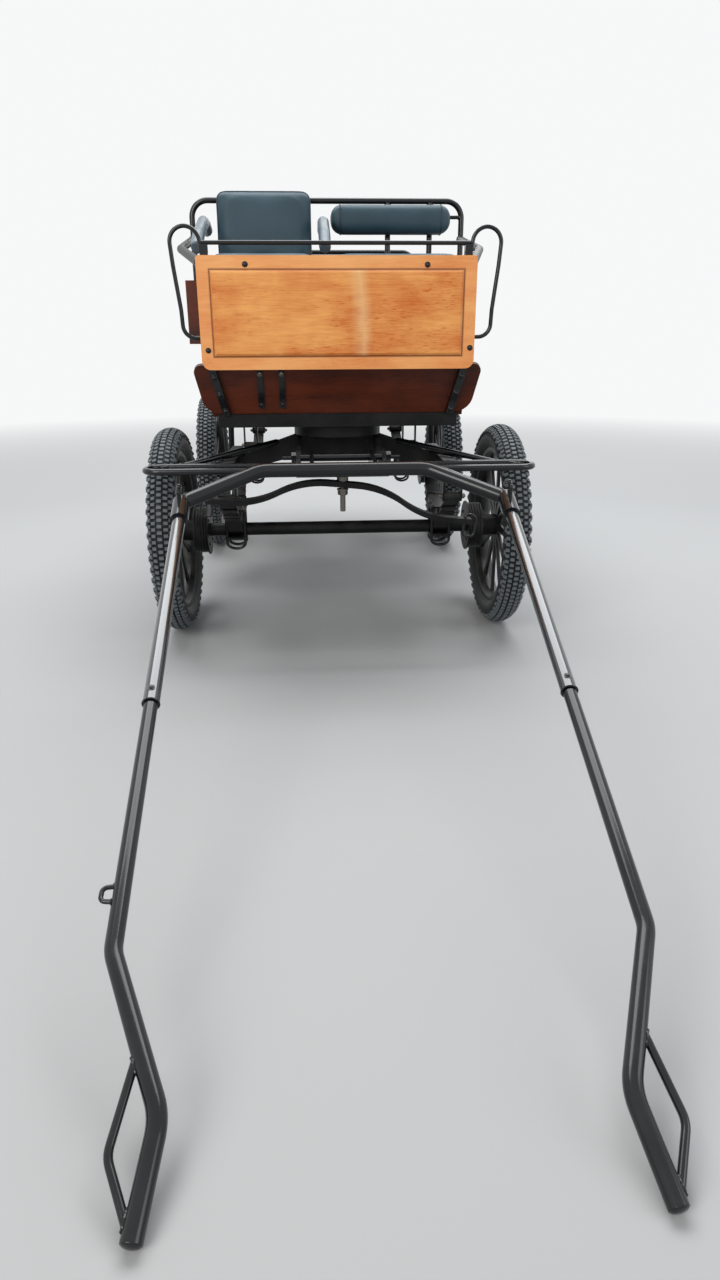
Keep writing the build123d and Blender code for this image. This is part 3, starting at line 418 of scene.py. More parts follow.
stained = (srgb(98, 39, 12), srgb(52, 16, 4))
materials = {
    "black_steel": paintedSteel("glossBlackPaint", srgb(7, 10, 14), 0.04, 0.18, 0.25, shine=0.3),
    "sleevePaint": paintedSteel("sleeveBlackPaint", srgb(12, 17, 22), 0.04, 0.2, 0.75, shine=0.7),
    "satinPaint": paintedSteel("satinBlackPaint", srgb(10, 11, 13), 0.14, 0.42, 0.0, shine=0.18),
    "wheelPaint": paintedSteel("wheelBlackPaint", srgb(12, 13, 15), 0.26, 0.34, 0.0, shine=0.25),
    "spring_steel": paintedSteel("springPaint", srgb(17, 18, 20), 0.36, 0.46, 0.0, 0.6, 0.2),
    "bright_steel": bareSteel("zincSteel", srgb(172, 172, 168), 0.3),
    "varnished_wood": dashWood("varnishedPly"),
    "dark_wood": varnishedWood("stainedWood", stained, 0.42, 0.06, 0.3),
    "sideWood": varnishedWood("stainedSideWood", stained, 0.42, 0.06, 0.3, 1.0),
    "floor_board": varnishedWood("floorBoard", (srgb(86, 74, 62), srgb(48, 40, 34)), 0.7, 0.0),
    "seat_vinyl": seatVinyl("seatVinyl", srgb(36, 60, 71), srgb(50, 74, 85), 0.46),
    # the armrests' vinyl is paler than the seat's: a painted sky reflection in its colour
    "armVinyl": seatVinyl("armVinyl", srgb(74, 90, 98), srgb(88, 102, 110), 0.34, 0.3),
    "weltVinyl": seatVinyl("weltVinyl", srgb(28, 44, 54), srgb(38, 54, 64), 0.4),
    # the pale knob tops are partly wear and dust, partly a painted highlight
    "tyre": rubber("tyreRubber", srgb(10, 11, 12), 0.14, srgb(132, 131, 127), 0.5, srgb(98, 104, 107), 0.28),
    "darkNut": bareSteel("darkenedNut", srgb(104, 102, 98), 0.38, 0.6),
    "matRubber": rubber("ribbedRubber", srgb(38, 39, 40), 0.5, srgb(112, 104, 94)),
}
endings = {"sleeve": "sleevePaint", "side_panel": "sideWood", **dict.fromkeys((
    "chassis_frame", "carriage_frame", "axle", "side_rail", "step", "upper_ring", "lower_ring", "swingletree"),
    "satinPaint")}


def finishOf(node):  # by the end of the node's name, or else by its slot
    for ending, finish in endings.items():
        if node.endswith(ending):
            return finish
    return "darkNut" if slotOf[node] == "bright_steel" else slotOf[node]


def dress(mesh, finish):
    mesh.materials.clear()
    mesh.materials.append(materials[finish])


for node, obj in frame["nodes"].items():
    dress(obj.data, finishOf(node))
print("materials are made")


# Helpers for new pieces

def addPiece(name, shapes, slotName, body, replaced=(), finish=None, smoothAngle=40, raised=None):
    mesh = meshFrom(name, shapes)
    if raised is None:  # closes seams and poles
        shape = bmesh.new()
        shape.from_mesh(mesh)
        bmesh.ops.remove_doubles(shape, verts=shape.verts, dist=0.00002)
        bare = [edge for edge in shape.edges if not edge.link_faces]
        bmesh.ops.delete(shape, geom=bare, context="EDGES")
        shape.to_mesh(mesh)
        shape.free()
    else:
        mesh.attributes.new("raised", "FLOAT", "POINT").data.foreach_set("value", raised)
    obj = newObject(name, mesh)
    dress(mesh, finish or slotName)
    mesh.shade_smooth()
    mesh.set_sharp_from_angle(angle=math.radians(smoothAngle))
    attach(obj, body)
    if replaced:
        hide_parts(*replaced)


def gridFaces(rows, columns, closeRows, closeColumns):
    # quads between neighbouring rows and columns of a grid, counted row by row
    a, b = np.indices((rows - (not closeRows), columns - (not closeColumns)))
    nextA, nextB = (a + 1) % rows, (b + 1) % columns
    quads = np.stack([a * columns + b, nextA * columns + b, nextA * columns + nextB, a * columns + nextB], axis=-1)
    return quads.reshape(-1, 4)


def barFaces(rows, sides):  # a closed bar: the grid round it and a face at each end
    last = (rows - 1) * sides
    ends = [list(range(sides)), list(range(last, last + sides))[::-1]]
    return gridFaces(rows, sides, False, True).tolist() + ends


def meshFrom(name, parts):
    # parts is a list of (points, faces), each with faces counted from its own first point
    mesh = bpy.data.meshes.new(name)
    points, faces, count = [], [], 0
    for own, ownFaces in parts:
        own = np.asarray(own, dtype=float).reshape(-1, 3)
        points.append(own)
        faces += [[int(i) + count for i in face] for face in ownFaces]
        count += len(own)
    mesh.from_pydata(np.concatenate(points).tolist(), [], faces)
    mesh.validate()
    mesh.update()
    return mesh


def turns(count):  # evenly spaced angles of a full turn
    return np.linspace(0, 2 * np.pi, count, endpoint=False)


def unit(v):
    v = np.asarray(v, dtype=float)
    return v / np.linalg.norm(v, axis=-1, keepdims=True)


def tube(path, radius, reference, closed=False, sides=14):
    # a circle carried along a path: path + r (u cos b + v sin b), u square to the path and the reference
    path = np.asarray(path, dtype=float)
    ahead, behind = np.roll(path, -1, 0), np.roll(path, 1, 0)
    if not closed:
        ahead[-1], behind[0] = path[-1], path[0]
    tangent = unit(ahead - behind)
    u = unit(np.cross(tangent, reference))
    v = np.cross(u, tangent)
    b = turns(sides)[None, :, None]
    r = np.broadcast_to(radius, (len(path),))[:, None, None]
    points = path[:, None] + r * (np.cos(b) * u[:, None] + np.sin(b) * v[:, None])
    if closed:
        return points, gridFaces(len(path), sides, True, True).tolist()
    return points, barFaces(len(path), sides)


def circle(centre, radius, u, v, count):
    a = turns(count)[:, None]
    return centre + radius * (np.cos(a) * np.asarray(u) + np.sin(a) * np.asarray(v))


def turned(profile, places, axes, sides=12):
    # a profile of (radius, height, six-sided or not) turned about the axis of each place
    rows, places = np.asarray(profile, dtype=float), np.atleast_2d(places)
    axes = unit(np.broadcast_to(axes, places.shape))
    angle = turns(sides)
    hexagon = np.cos((angle + np.pi / 6) % (np.pi / 3) - np.pi / 6)
    radial = np.where(rows[:, 2, None] > 0, rows[:, 0, None] * np.cos(np.pi / 6) / hexagon, rows[:, 0, None])
    helper = np.where(np.abs(axes[:, 2:3]) > 0.9, [[1.0, 0, 0]], [[0, 0, 1.0]])
    u = unit(np.cross(helper, axes))
    v = np.cross(axes, u)
    around = np.cos(angle)[None, :, None] * u[:, None] + np.sin(angle)[None, :, None] * v[:, None]
    points = (places[:, None, None] + radial[None, :, :, None] * around[:, None]
              + rows[None, :, 1, None, None] * axes[:, None, None])
    faces = gridFaces(len(rows), sides, False, True)[:, ::-1]
    return [(own, faces.tolist()) for own in points]


# Profiles for a radius of 1: a six-sided nut with a chamfered top and the bolt's rounded end in it,
# and a coach bolt's low domed head on a flat washer
nutShape = np.array([(0, 0, 0), (1.35, 0, 0), (1.35, 0.18, 0), (1, 0.18, 1), (1, 0.95, 1), (0.86, 1.05, 0),
                     (0.52, 1.05, 0), (0.52, 1.35, 0), (0.4, 1.45, 0), (0, 1.47, 0)])
boltShape = np.array([(0, 0, 0), (1.45, 0, 0), (1.45, 0.14, 0), (1.38, 0.2, 0), (1, 0.2, 0), (0.97, 0.34, 0),
                      (0.8, 0.55, 0), (0.45, 0.7, 0), (0, 0.74, 0)])


def nutsAt(r, places, axis):
    return turned(nutShape * [r, r, 1], places, axis)


def boltsAt(r, places, axis, sides=16):
    return turned(boltShape * [r, r, 1], places, axis, sides)


def weldRing(start, direction, r, centre=None, axis=(0, 0, 1), outer=0.0, size=0.0026):
    # a rippled ring where a tube of radius r leaves a flat face, or a cylinder of radius outer about an axis
    d, k = unit(direction), unit(axis)
    side = unit(np.cross(d, k if abs(d @ k) < 0.9 else k[[1, 2, 0]]))
    count = 36
    ring = circle(start, r, side, np.cross(d, side), count)
    if outer:
        away = ring - (start if centre is None else centre)
        away = away - (away @ k)[:, None] * k
        flat = d - (d @ k) * k
        b, c = away @ flat, (away ** 2).sum(1) - outer ** 2
        ring = ring + ((np.sqrt(np.maximum(b * b - (flat @ flat) * c, 0)) - b) / (flat @ flat))[:, None] * d
    ripple = 1 + 0.16 * np.sin(9 * turns(count))
    return tube(ring, size * ripple, d, True, 8)


# Tyres

tyreValues = {
    "width": 0.092, "height": 0.088, "knobHeight": 0.0085, "rows": 110,
    "around": 120, "seatHalf": 0.024, "flange": 0.004, "flangeHeight": 0.0105,
    # across in fractions of the half crown, width across, length round, rows on or between, metres
    "knobs": [(0.0, 0.0150, 0.0125, 0), (0.38, 0.0140, 0.0125, 0.5), (-0.38, 0.0140, 0.0125, 0.5),
              (0.73, 0.0140, 0.0135, 0), (-0.73, 0.0140, 0.0135, 0)],
    "sideKnobs": (0.0150, 0.0200, 2),  # width, length and how many rows each one takes
    "slope": 0.8,  # how much narrower a knob is at its top
    # the crown ends so far inside the half width, turns by so many radians each way and falls so far
    "shoulder": 0.008, "crownArc": 1.05, "crownDrop": 0.021,
    "bulge": 0.008, "wallWorn": 0.06,  # of the walls: how far they swell, and how pale they are worn
}


def tyreProfile(radius, v):
    # carcass outline: a crown arc from shoulder to shoulder, then a bulged wall down to each bead
    half, foot, arc = v["width"] / 2 - v["shoulder"], v["seatHalf"] + v["flange"], v["crownArc"]
    seat = radius - v["height"]
    t = np.linspace(-1, 1, 25) * arc
    crownX = half * np.sin(t) / np.sin(arc)
    crownR = radius - v["knobHeight"] - v["crownDrop"] * (1 - np.cos(t)) / (1 - np.cos(arc))
    crown = np.stack([crownX, crownR], 1)
    s = np.linspace(0, 1, 12)[1:]
    wallX = half + (foot - half) * s ** 1.6 + v["bulge"] * np.sin(np.pi * s)
    wallR = crownR[-1] + (seat + v["flangeHeight"] - crownR[-1]) * s
    bead = [(v["seatHalf"], seat + v["flangeHeight"]), (v["seatHalf"], seat + 0.0004)]
    right = np.concatenate([np.stack([wallX, wallR], 1), bead])
    wall = np.full(len(right), v["wallWorn"])
    outline = np.concatenate([right[::-1] * [-1, 1], crown, right])
    return outline, crown, np.concatenate([wall, np.zeros(len(crown)), wall])


def revolved(outline, around):
    # each outline point (x, r) goes round the X axis: (x, -r sin a, r cos a)
    angle, r = turns(around)[:, None], outline[None, :, 1]
    x = np.broadcast_to(outline[None, :, 0], (around, len(outline)))
    points = np.stack([x, -r * np.sin(angle), r * np.cos(angle)], axis=-1)
    return points, gridFaces(around, len(outline), True, True).tolist()


def knobRow(v, crown, radius, across, wide, long, offset, rows):
    # blocks with four corners on the carcass and four narrower ones on top, one for each angle
    length = np.concatenate([[0], np.cumsum(np.hypot(*np.diff(crown, axis=0).T))])
    slopes = np.gradient(crown, axis=0)
    normal = unit(np.stack([-slopes[:, 1], slopes[:, 0]], 1))
    along = length[-1] / 2 * (1 + across)
    angle = (np.arange(rows) + offset) * 2 * np.pi / rows
    corner = np.array([(-1, -1), (1, -1), (1, 1), (-1, 1)]) / 2
    layers = []
    for height, shrink in ((-0.003, 1.0), (v["knobHeight"] - 0.0005, v["slope"])):
        u = np.clip(along + corner[:, 1] * wide * shrink, 0, length[-1])
        base = np.stack([np.interp(u, length, crown[:, k]) for k in (0, 1)], 1)
        out = unit(np.stack([np.interp(u, length, normal[:, k]) for k in (0, 1)], 1))
        spot = base + height * out
        turn = angle[:, None] + corner[None, :, 0] * long * shrink / radius
        layers.append(np.stack([np.broadcast_to(spot[:, 0], turn.shape), -spot[:, 1] * np.sin(turn),
                                spot[:, 1] * np.cos(turn)], axis=-1))
    boxFaces = np.array([(3, 2, 1, 0), (4, 5, 6, 7), (0, 1, 5, 4), (1, 2, 6, 5), (2, 3, 7, 6), (3, 0, 4, 7)])
    faces = boxFaces[None] + (np.arange(rows) * 8)[:, None, None]
    return np.concatenate(layers, axis=1).reshape(-1, 3), faces.reshape(-1, 4).tolist()


def makeTyre(name, node, body):
    v = tyreValues
    centre, half = boxOf(node)
    radius = half[2]
    outline, crown, worn = tyreProfile(radius, v)
    parts = [revolved(outline, v["around"])]
    for across, wide, long, offset in v["knobs"]:
        parts.append(knobRow(v, crown, radius, across, wide, long, offset, v["rows"]))
    wide, long, every = v["sideKnobs"]
    for side in (-1, 1):
        parts.append(knobRow(v, crown, radius, side, wide, long, 0.25, v["rows"] // every))
    knobs = sum(len(own) for own, _ in parts[1:]) // 8
    raised = np.concatenate([np.tile(worn, v["around"]), np.tile([0.0] * 4 + [1.0] * 4, knobs)])
    placed = [(own.reshape(-1, 3) + centre, faces) for own, faces in parts]
    addPiece(name, placed, "tyre", body, [node], smoothAngle=30, raised=raised)


# Wheels

wheelValues = {
    "spokes": 12, "spokeStart": 0.034, "spokeWide": (0.031, 0.0205), "spokeThick": 0.012,
    "seatHalf": 0.024, "flange": 0.004, "rimDepth": 0.018, "bore": 0.0152,
    "hub": 0.038, "cap": 0.026, "reach": 0.040, "capLength": 0.026,
    "drum": 0.080, "drumInner": 0.108, "drumOuter": 0.062, "grooves": 4,
    "nuts": 5, "nutCircle": 0.0318, "nutRadius": 0.0048,
    "stem": (4, 4, 3.4, 2.6, 2.6, 2.6, 3.6, 3.6, 3.2),  # radii of the valve's stem, millimetres
    "stemTurn": 15,  # degrees round the wheel
}


def rimOutline(seat, v):
    # half of the section with rolled flange and dropped well, mirrored to close it
    half, well = v["seatHalf"], seat - v["rimDepth"]
    edge = half + v["flange"]
    right = np.array([
        (half, seat + 0.0002), (half, seat + 0.0086), (half + 0.001, seat + 0.0098), (edge - 0.001, seat + 0.0098),
        (edge, seat + 0.0084), (edge, seat - 0.0045), (edge - 0.0012, seat - 0.0062), (0.0235, seat - 0.0090),
        (0.0150, well + 0.0028), (0.0120, well + 0.0006), (0.0085, well)])
    return np.concatenate([right, right[::-1] * [-1, 1]])


def hubOutline(v):
    # drum with shallow grooves, hub shell and stepped dust cap, closed along the bore
    hub, cap, drum, bore, reach = (v[key] for key in ("hub", "cap", "drum", "bore", "reach"))
    inner, outer, end = -v["drumInner"], -v["drumOuter"], reach + v["capLength"]
    x = np.linspace(inner + 0.004, outer - 0.004, 8 * v["grooves"])
    phase = np.linspace(0, 2 * np.pi * v["grooves"], len(x))
    grooved = np.stack([x, drum - 0.0025 * (0.5 - 0.5 * np.cos(phase)) ** 3], 1)
    rest = [(outer, drum - 0.002), (outer, hub + 0.010), (outer + 0.006, hub), (-0.020, hub - 0.001),
            (0.020, hub - 0.001), (reach - 0.008, hub), (reach - 0.0015, hub), (reach, hub - 0.0015),
            (reach, cap + 0.0015), (reach + 0.002, cap), (reach + 0.006, cap), (reach + 0.007, cap - 0.0012),
            (end - 0.006, cap - 0.002), (end - 0.0018, cap - 0.006), (end, cap - 0.011), (end, 0),
            (reach + 0.004, 0), (reach + 0.004, bore), (inner, bore), (inner, drum - 0.002)]
    return np.concatenate([grooved, rest])


def spokeShells(seat, v):
    # a rounded bar carried outwards: wide at both ends, narrow between, its section a superellipse
    rows, sides, count = 15, 16, v["spokes"]
    start, (rootWide, tipWide) = v["spokeStart"], v["spokeWide"]
    s = np.linspace(0, 1, rows)
    r = start + (seat - v["rimDepth"] + 0.002 - start) * s
    wide = (rootWide + (tipWide - rootWide) * s) / 2 + 0.004 * np.maximum(0, s - 0.9) * 10
    thick = v["spokeThick"] / 2 * (1 - 0.12 * np.sin(np.pi * s))
    b = turns(sides)
    x, y = (half[:, None] * np.sign(way) * np.abs(way) ** 0.45
            for half, way in ((thick, np.sin(b)), (wide, np.cos(b))))
    z = np.broadcast_to(r[:, None], x.shape)
    turn = turns(count)[:, None, None]
    points = np.stack([np.broadcast_to(x, (count, rows, sides)), y * np.cos(turn) - z * np.sin(turn),
                       y * np.sin(turn) + z * np.cos(turn)], axis=-1)
    return [(own, barFaces(rows, sides)) for own in points]


def makeWheel(name, tyreNode, node, side):
    v = wheelValues
    centre, half = boxOf(tyreNode)
    seat = half[2] - tyreValues["height"]
    parts = [revolved(rimOutline(seat, v), 120), revolved(hubOutline(v), 48)]

    def placed(shapes):  # the right-hand wheels are mirrored, with their faces turned back outwards
        return [(np.asarray(own).reshape(-1, 3) * [side, 1, 1] + centre, [face[::side] for face in faces])
                for own, faces in shapes]

    addPiece(name, placed(parts + spokeShells(seat, v)), "black_steel", node, [node], "wheelPaint")
    places = circle([v["reach"], 0, 0], v["nutCircle"], (0, 1, 0), (0, 0, 1), v["nuts"])
    bits = nutsAt(v["nutRadius"], places, (1, 0, 0))
    s = np.linspace(0, 1, len(v["stem"]))
    stem = np.stack([0.006 + 0.020 * s ** 1.5, 0 * s, seat - v["rimDepth"] + 0.001 - 0.026 * s], 1)
    turn = np.array(Matrix.Rotation(math.radians(v["stemTurn"]), 3, "X")).T
    bits.append(tube(stem @ turn, np.array(v["stem"]) / 1000, (0, 1, 0.27), sides=10))
    addPiece(name + "Nuts", placed(bits), "bright_steel", node)


for end in ("front", "rear"):
    for sideName, side in (("left", 1), ("right", -1)):
        name, tyreNode, node = end + sideName.capitalize(), f"{end}_{sideName}_tyre", f"{end}_{sideName}_wheel"
        makeTyre(name + "Tread", tyreNode, node)
        makeWheel(name + "Rim", tyreNode, node, side)
print("tyres and wheels are made")


# Padded seats

cushionSwell = (0.005, 0.018, (0.011, 0.011, 0.012, 0.011, 0.0045, 0.018))
armSwell = (0.002, 0.004, (0.003, 0.003, 0.004, 0.004, 0.003, 0.004))
padValues = {
    # shrink before the swelling, cap on a point's way, room: the most it may go to -x, x, -y, y, -z, z
    "driver_cushion": cushionSwell,
    "passenger_cushion": cushionSwell,
    "rear_cushion": cushionSwell,
    "driver_backrest": (0.003, 0.015, (0.008, 0.008, 0.015, 0.0025, 0.006, 0.008)),
    "passenger_backrest": (0.002, 0.006, (0.004, 0.004, 0.006, 0.002, 0.004, 0.004)),
    "rear_backrest": (0.004, 0.013, (0.008, 0.008, 0.013, 0.0035, 0.007, 0.008)),
    "left_armrest": armSwell,
    "right_armrest": armSwell,
}
padVoxel, armVoxel = 0.007, 0.005
padSmoothing = 24  # rounds of averaging that turn the cloth's small wrinkles into an even swell
clothPressure, clothSteps = 4.0, 20


def applyModifiers(obj):
    depsgraph = bpy.context.evaluated_depsgraph_get()
    done = bpy.data.meshes.new_from_object(obj.evaluated_get(depsgraph))
    obj.modifiers.clear()
    obj.data = done


def vertexArray(mesh):
    points = np.empty(len(mesh.vertices) * 3)
    mesh.vertices.foreach_get("co", points)
    return points.reshape(-1, 3)


def slimCopy(node, shrink):
    # a copy of the CAD pad, a little smaller all round, merged and remeshed evenly
    mesh = frame["nodes"][node].data.copy()
    obj = newObject(node.replace("_", "") + "Pad", mesh)
    points = vertexArray(mesh)
    centre, half = (points.min(0) + points.max(0)) / 2, (points.max(0) - points.min(0)) / 2
    mesh.vertices.foreach_set("co", (centre + (points - centre) * (half - shrink) / half).ravel())
    weld = obj.modifiers.new("weld", "WELD")
    weld.merge_threshold = 0.0002
    remesh = obj.modifiers.new("remesh", "REMESH")
    remesh.mode, remesh.voxel_size = "VOXEL", armVoxel if node.endswith("armrest") else padVoxel
    applyModifiers(obj)
    obj.data.vertices.foreach_set("co", neighbourMean(obj.data, vertexArray(obj.data), 2).ravel())
    return obj


def neighbourMean(mesh, values, rounds):  # each point takes the mean of its own value and its neighbours'
    edges = np.empty(len(mesh.edges) * 2, dtype=int)
    mesh.edges.foreach_get("vertices", edges)
    a, b = edges.reshape(-1, 2).T
    count = np.bincount(edges, minlength=len(values))[:, None] + 1.0
    for _ in range(rounds):
        total = values.copy()
        for k in range(3):
            total[:, k] += np.bincount(a, values[b, k], len(values)) + np.bincount(b, values[a, k], len(values))
        values = total / count
    return values


def inflate(obj, cap, room):
    before = vertexArray(obj.data)
    cloth = obj.modifiers.new("cloth", "CLOTH")
    cloth.settings.use_pressure = True
    cloth.settings.uniform_pressure_force = clothPressure
    cloth.settings.effector_weights.gravity = 0
    cloth.settings.quality = 4
    cloth.point_cache.frame_start, cloth.point_cache.frame_end = 1, clothSteps
    for step in range(1, clothSteps + 1):
        bpy.context.scene.frame_set(step)
    applyModifiers(obj)
    bpy.context.scene.frame_set(1)
    move = neighbourMean(obj.data, vertexArray(obj.data) - before, padSmoothing)
    move *= np.minimum(1, cap / np.maximum(np.linalg.norm(move, axis=1), 1e-9))[:, None]
    move = np.clip(move, -np.array(room[0::2]), room[1::2])
    obj.data.vertices.foreach_set("co", (before + move).ravel())
    obj.data.update()


def roundedLoop(halfWide, halfHigh, corner, count=200):
    # a rounded rectangle sampled evenly: straight sides joined by quarter circles
    corners = []
    for k, (sx, sy) in enumerate(((1, 1), (-1, 1), (-1, -1), (1, -1))):
        a = np.linspace(0, np.pi / 2, 12) + k * np.pi / 2
        corners.append(np.stack([sx * (halfWide - corner) + corner * np.cos(a),
                                 sy * (halfHigh - corner) + corner * np.sin(a)], 1))
    loop = np.concatenate(corners + [corners[0][:1]])
    length = np.concatenate([[0], np.cumsum(np.linalg.norm(np.diff(loop, axis=0), axis=1))])
    s = np.linspace(0, length[-1], count, endpoint=False)
    return np.stack([np.interp(s, length, loop[:, k]) for k in (0, 1)], 1)


def weltOn(pad, loop, reference, radius=0.0032):
    # a piping tube laid along a loop that is dropped onto the nearest point of the pad and smoothed
    tree = BVHTree.FromPolygons([v.co for v in pad.data.vertices], [p.vertices for p in pad.data.polygons])
    path = np.array([tree.find_nearest(Vector(p))[0] for p in loop])
    for _ in range(6):
        path = (np.roll(path, 1, 0) + 2 * path + np.roll(path, -1, 0)) / 4
    return tube(path, radius, reference, True, 8)


def padLoops(node):
    # seam lines of each pad: loops around it at two depths, and the axis that they lie square to
    centre, half = boxOf(node)
    u, v, out = np.eye(3)
    if node.endswith("_cushion"):
        size, corner, depth = half[:2] - 0.004, 0.026, half[2] - 0.008
    elif node.startswith("passenger"):
        u, v, out = v, out, u
        size, corner, depth = half[1:] * 0.98, 0.030, half[0] - 0.040
    elif node.endswith("_backrest"):
        lean, depth = (math.radians(6), 0.027) if node.startswith("driver") else (0.0, 0.022)
        v, out = np.array([(0, math.sin(lean), math.cos(lean)), (0, math.cos(lean), -math.sin(lean))])
        size, corner = half[[0, 2]] - 0.006, 0.030
    else:
        return
    a, b = roundedLoop(*size, corner).T[:, :, None]
    for way in (-depth, depth):
        yield centre + a * u + b * v + way * out, np.round(out)  # rounded, because the lean is small


for node, (shrink, cap, room) in padValues.items():
    pad = slimCopy(node, shrink)
    inflate(pad, cap, room)
    finish = pad.modifiers.new("smooth", "SUBSURF")
    finish.levels = finish.render_levels = 1
    dress(pad.data, "armVinyl" if node.endswith("armrest") else "seat_vinyl")
    pad.data.shade_smooth()
    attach(pad, "carriage_body")
    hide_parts(node)
    welts = [weltOn(pad, loop, reference) for loop, reference in padLoops(node)]
    if welts:
        addPiece(node.replace("_", "") + "Welt", welts, "seat_vinyl", "carriage_body", finish="weltVinyl")
print("seats are padded")


# Small steel: bolts, nuts, clips and welds

slope = math.radians(19.35)  # of the shafts
toeSine, toeCosine = 0.381, 0.9246  # of the toe board's slope
toeWay = (0, -toeCosine, -toeSine)  # out from its front face


def onShaft(side, x, s):  # a place in the plane of the shafts: x from the middle, s down from the root
    return at(side * x, -0.618 - s * math.cos(slope), 0.5649 - s * math.sin(slope))


def onToe(x, drop, out):  # a place on the toe board: drop down its slope, out from its front face
    return at(x, -0.222 + toeSine * drop - toeCosine * out, 0.905 - toeCosine * drop - toeSine * out)


springValues = {
    # half length, height of the eyes, camber
    "front": (0.240, 0.50105, 0.075), "rear": (0.300, 0.5206, 0.080),
    "x": 0.360, "boltReach": 0.031, "boltRadius": 0.0052, "bend": 0.020,
    "clipPlace": 0.56,  # of the half length
}


def springFittings(axleY, axleZ, half, eyeZ, camber):
    # nuts over the spring, round bends of the U-bolts under the axle, clips round the leaves, nuts on the pins
    nuts, black = [], []
    reach = springValues["boltReach"]
    radius = (half ** 2 + camber ** 2) / (2 * camber)
    a = np.linspace(0, np.pi, 17)
    outline = roundedLoop(0.0275, 0.0135, 0.003, 40)
    for side in (-1, 1):
        x = side * springValues["x"]
        legs = [(x + dx, axleY + dy, axleZ + 0.0755) for dx in (-reach, reach) for dy in (-reach, reach)]
        nuts += nutsAt(0.0078, legs, (0, 0, 1))
        for y in (axleY - reach, axleY + reach):
            bend = np.stack([x + reach * np.cos(a), 0 * a + y, axleZ - 0.0425 - springValues["bend"] * np.sin(a)], 1)
            first, last = ([(x + dx, y, axleZ - 0.0325)] for dx in (reach, -reach))
            path = np.concatenate([first, bend, last])
            black.append(tube(path, springValues["boltRadius"], (0, 1, 0), sides=10))
        for end in (-1, 1):
            lean = math.asin(end * half * springValues["clipPlace"] / radius)
            turn = np.array(Matrix.Rotation(lean, 3, "X")).T
            path = np.stack([x + outline[:, 0], 0 * outline[:, 0], outline[:, 1] - (radius + 0.0105)], 1) @ turn
            black.append(tube(path + [0, axleY, axleZ + 0.0675 + radius], 0.0022, (0, 1, 0.1), True, 6))
            for way in (-1, 1):
                nuts += nutsAt(0.0088, [(x + way * 0.0315, axleY + end * half, eyeZ)], (way, 0, 0))
    return nuts, black


def axleFittings(axleY, axleZ):  # the bolts of the backplates
    black = []
    for side in (-1, 1):
        spots = circle([side * 0.452, axleY, axleZ], 0.058, unit([0, 1, 1]), unit([0, -1, 1]), 4)
        black += boltsAt(0.0060, spots, (-side, 0, 0), 12)
    return black


bodyValues = {
    "heads": [(-0.267, 1.181), (0.261, 1.180), (-0.387, 0.948), (0.395, 0.952)],  # x and z on the dash
    "boards": [  # x of a board's side, all y and all z of its bolts
        (0.400, (-0.06, 0.24, 0.54, 0.86, 1.16, 1.46), (0.735,)), (0.520, (0.38, 0.73), (0.99, 1.14)),
        (0.440, (1.26, 1.55), (0.985, 1.075))],
    "clamps": [(0.533, 0.762), (0.451, 1.604)],  # x and y of the posts
    "hoopFeet": (0.238, 0.406, -0.340, -0.164), "hoopY": 0.762,
    "footRing": [(0, 0, 0), (0.0175, 0, 0), (0.0175, 0.003, 0), (0.0125, 0.0035, 0), (0.0112, 0.006, 0),
                 (0, 0.006, 0)],
    "pedals": (-0.242, -0.176),
}


def bodyFittings():
    # coach bolts through the boards, weld rings of the tube work, clamps of the posts and ribs of the steps
    v = bodyValues
    black = boltsAt(0.0058, [at(x, -0.262, z) for x, z in v["heads"]], (0, -1, 0))
    for side in (-1, 1):
        struts = [onToe(side * (0.385 - 0.035 * drop / 0.160), drop, 0.022) for drop in (0.030, 0.085, 0.140)]
        black += boltsAt(0.0070, struts, toeWay)
        panel = [at(side * x, y, z) for x, along, heights in v["boards"] for y in along for z in heights]
        black += boltsAt(0.0065, panel, (side, 0, 0))
        black += [tube(circle(at(side * x, y, z), 0.0125, (1, 0, 0), (0, 1, 0), 24), 0.0035, (0, 0, 1), True, 8)
                  for x, y in v["clamps"] for z in (1.05, 1.11)]
        knee = at(side * 0.533, v["hoopY"], 1.345)
        black += [weldRing(at(side * 0.396, -0.233, 0.983), (side, 0, 0), 0.006),
                  weldRing(knee, at(side * 0.524, 0.310, 1.270) - knee, 0.014, outer=0.011),
                  weldRing(at(side * 0.451, 1.604, 1.250), (-side, 0, 0), 0.008, outer=0.011)]
        black += [tube([at(side * 0.510 + dx, y, 0.4535) for dx in (-0.084, 0.084)], 0.0028, (0, 0, 1), sides=6)
                  for y in np.linspace(0.628, 0.772, 9)]
    black += boltsAt(0.0065, [at(x, 1.615, 0.735) for x in (-0.3, 0, 0.3)], (0, 1, 0))
    for x in v["hoopFeet"]:
        black.append(weldRing(at(x, v["hoopY"], 1.482), (0, 0, -1), 0.011, axis=(1, 0, 0), outer=0.011))
    black += turned(v["footRing"], [at(x, v["hoopY"], 1.172) for x in v["hoopFeet"]], (0, 0, 1), 24)
    for x, way in ((0.533, -1), (0.406, 1)):
        black.append(weldRing(at(x, v["hoopY"], 1.425), (way, 0, 0), 0.007, outer=0.011))
    steel = nutsAt(0.0062, [onToe(x, 0.024, 0.011) for x in v["pedals"]], toeWay)
    return steel, black + boltsAt(0.0050, [onToe(x, 0.128, 0.006) for x in v["pedals"]], toeWay, 12)


def frontFittings():
    black = boltsAt(0.0065, [at(x, y, 0.608) for x in (-0.085, 0.085) for y in (-0.43, -0.38)], (0, 0, 1), 12)
    for side in (-1, 1):
        # outer end, inner end and radius of each stay of the wheel guards
        for outX, inX, inZ, radius in ((0.500, 0.180, 0.6565, 0.009), (0.527, 0.300, 0.613, 0.006)):
            start = at(side * outX, -0.275, 0.610)
            black.append(weldRing(start, at(side * inX, 0, inZ) - start, radius, axis=(1, 0, 0), outer=0.010))
    return black


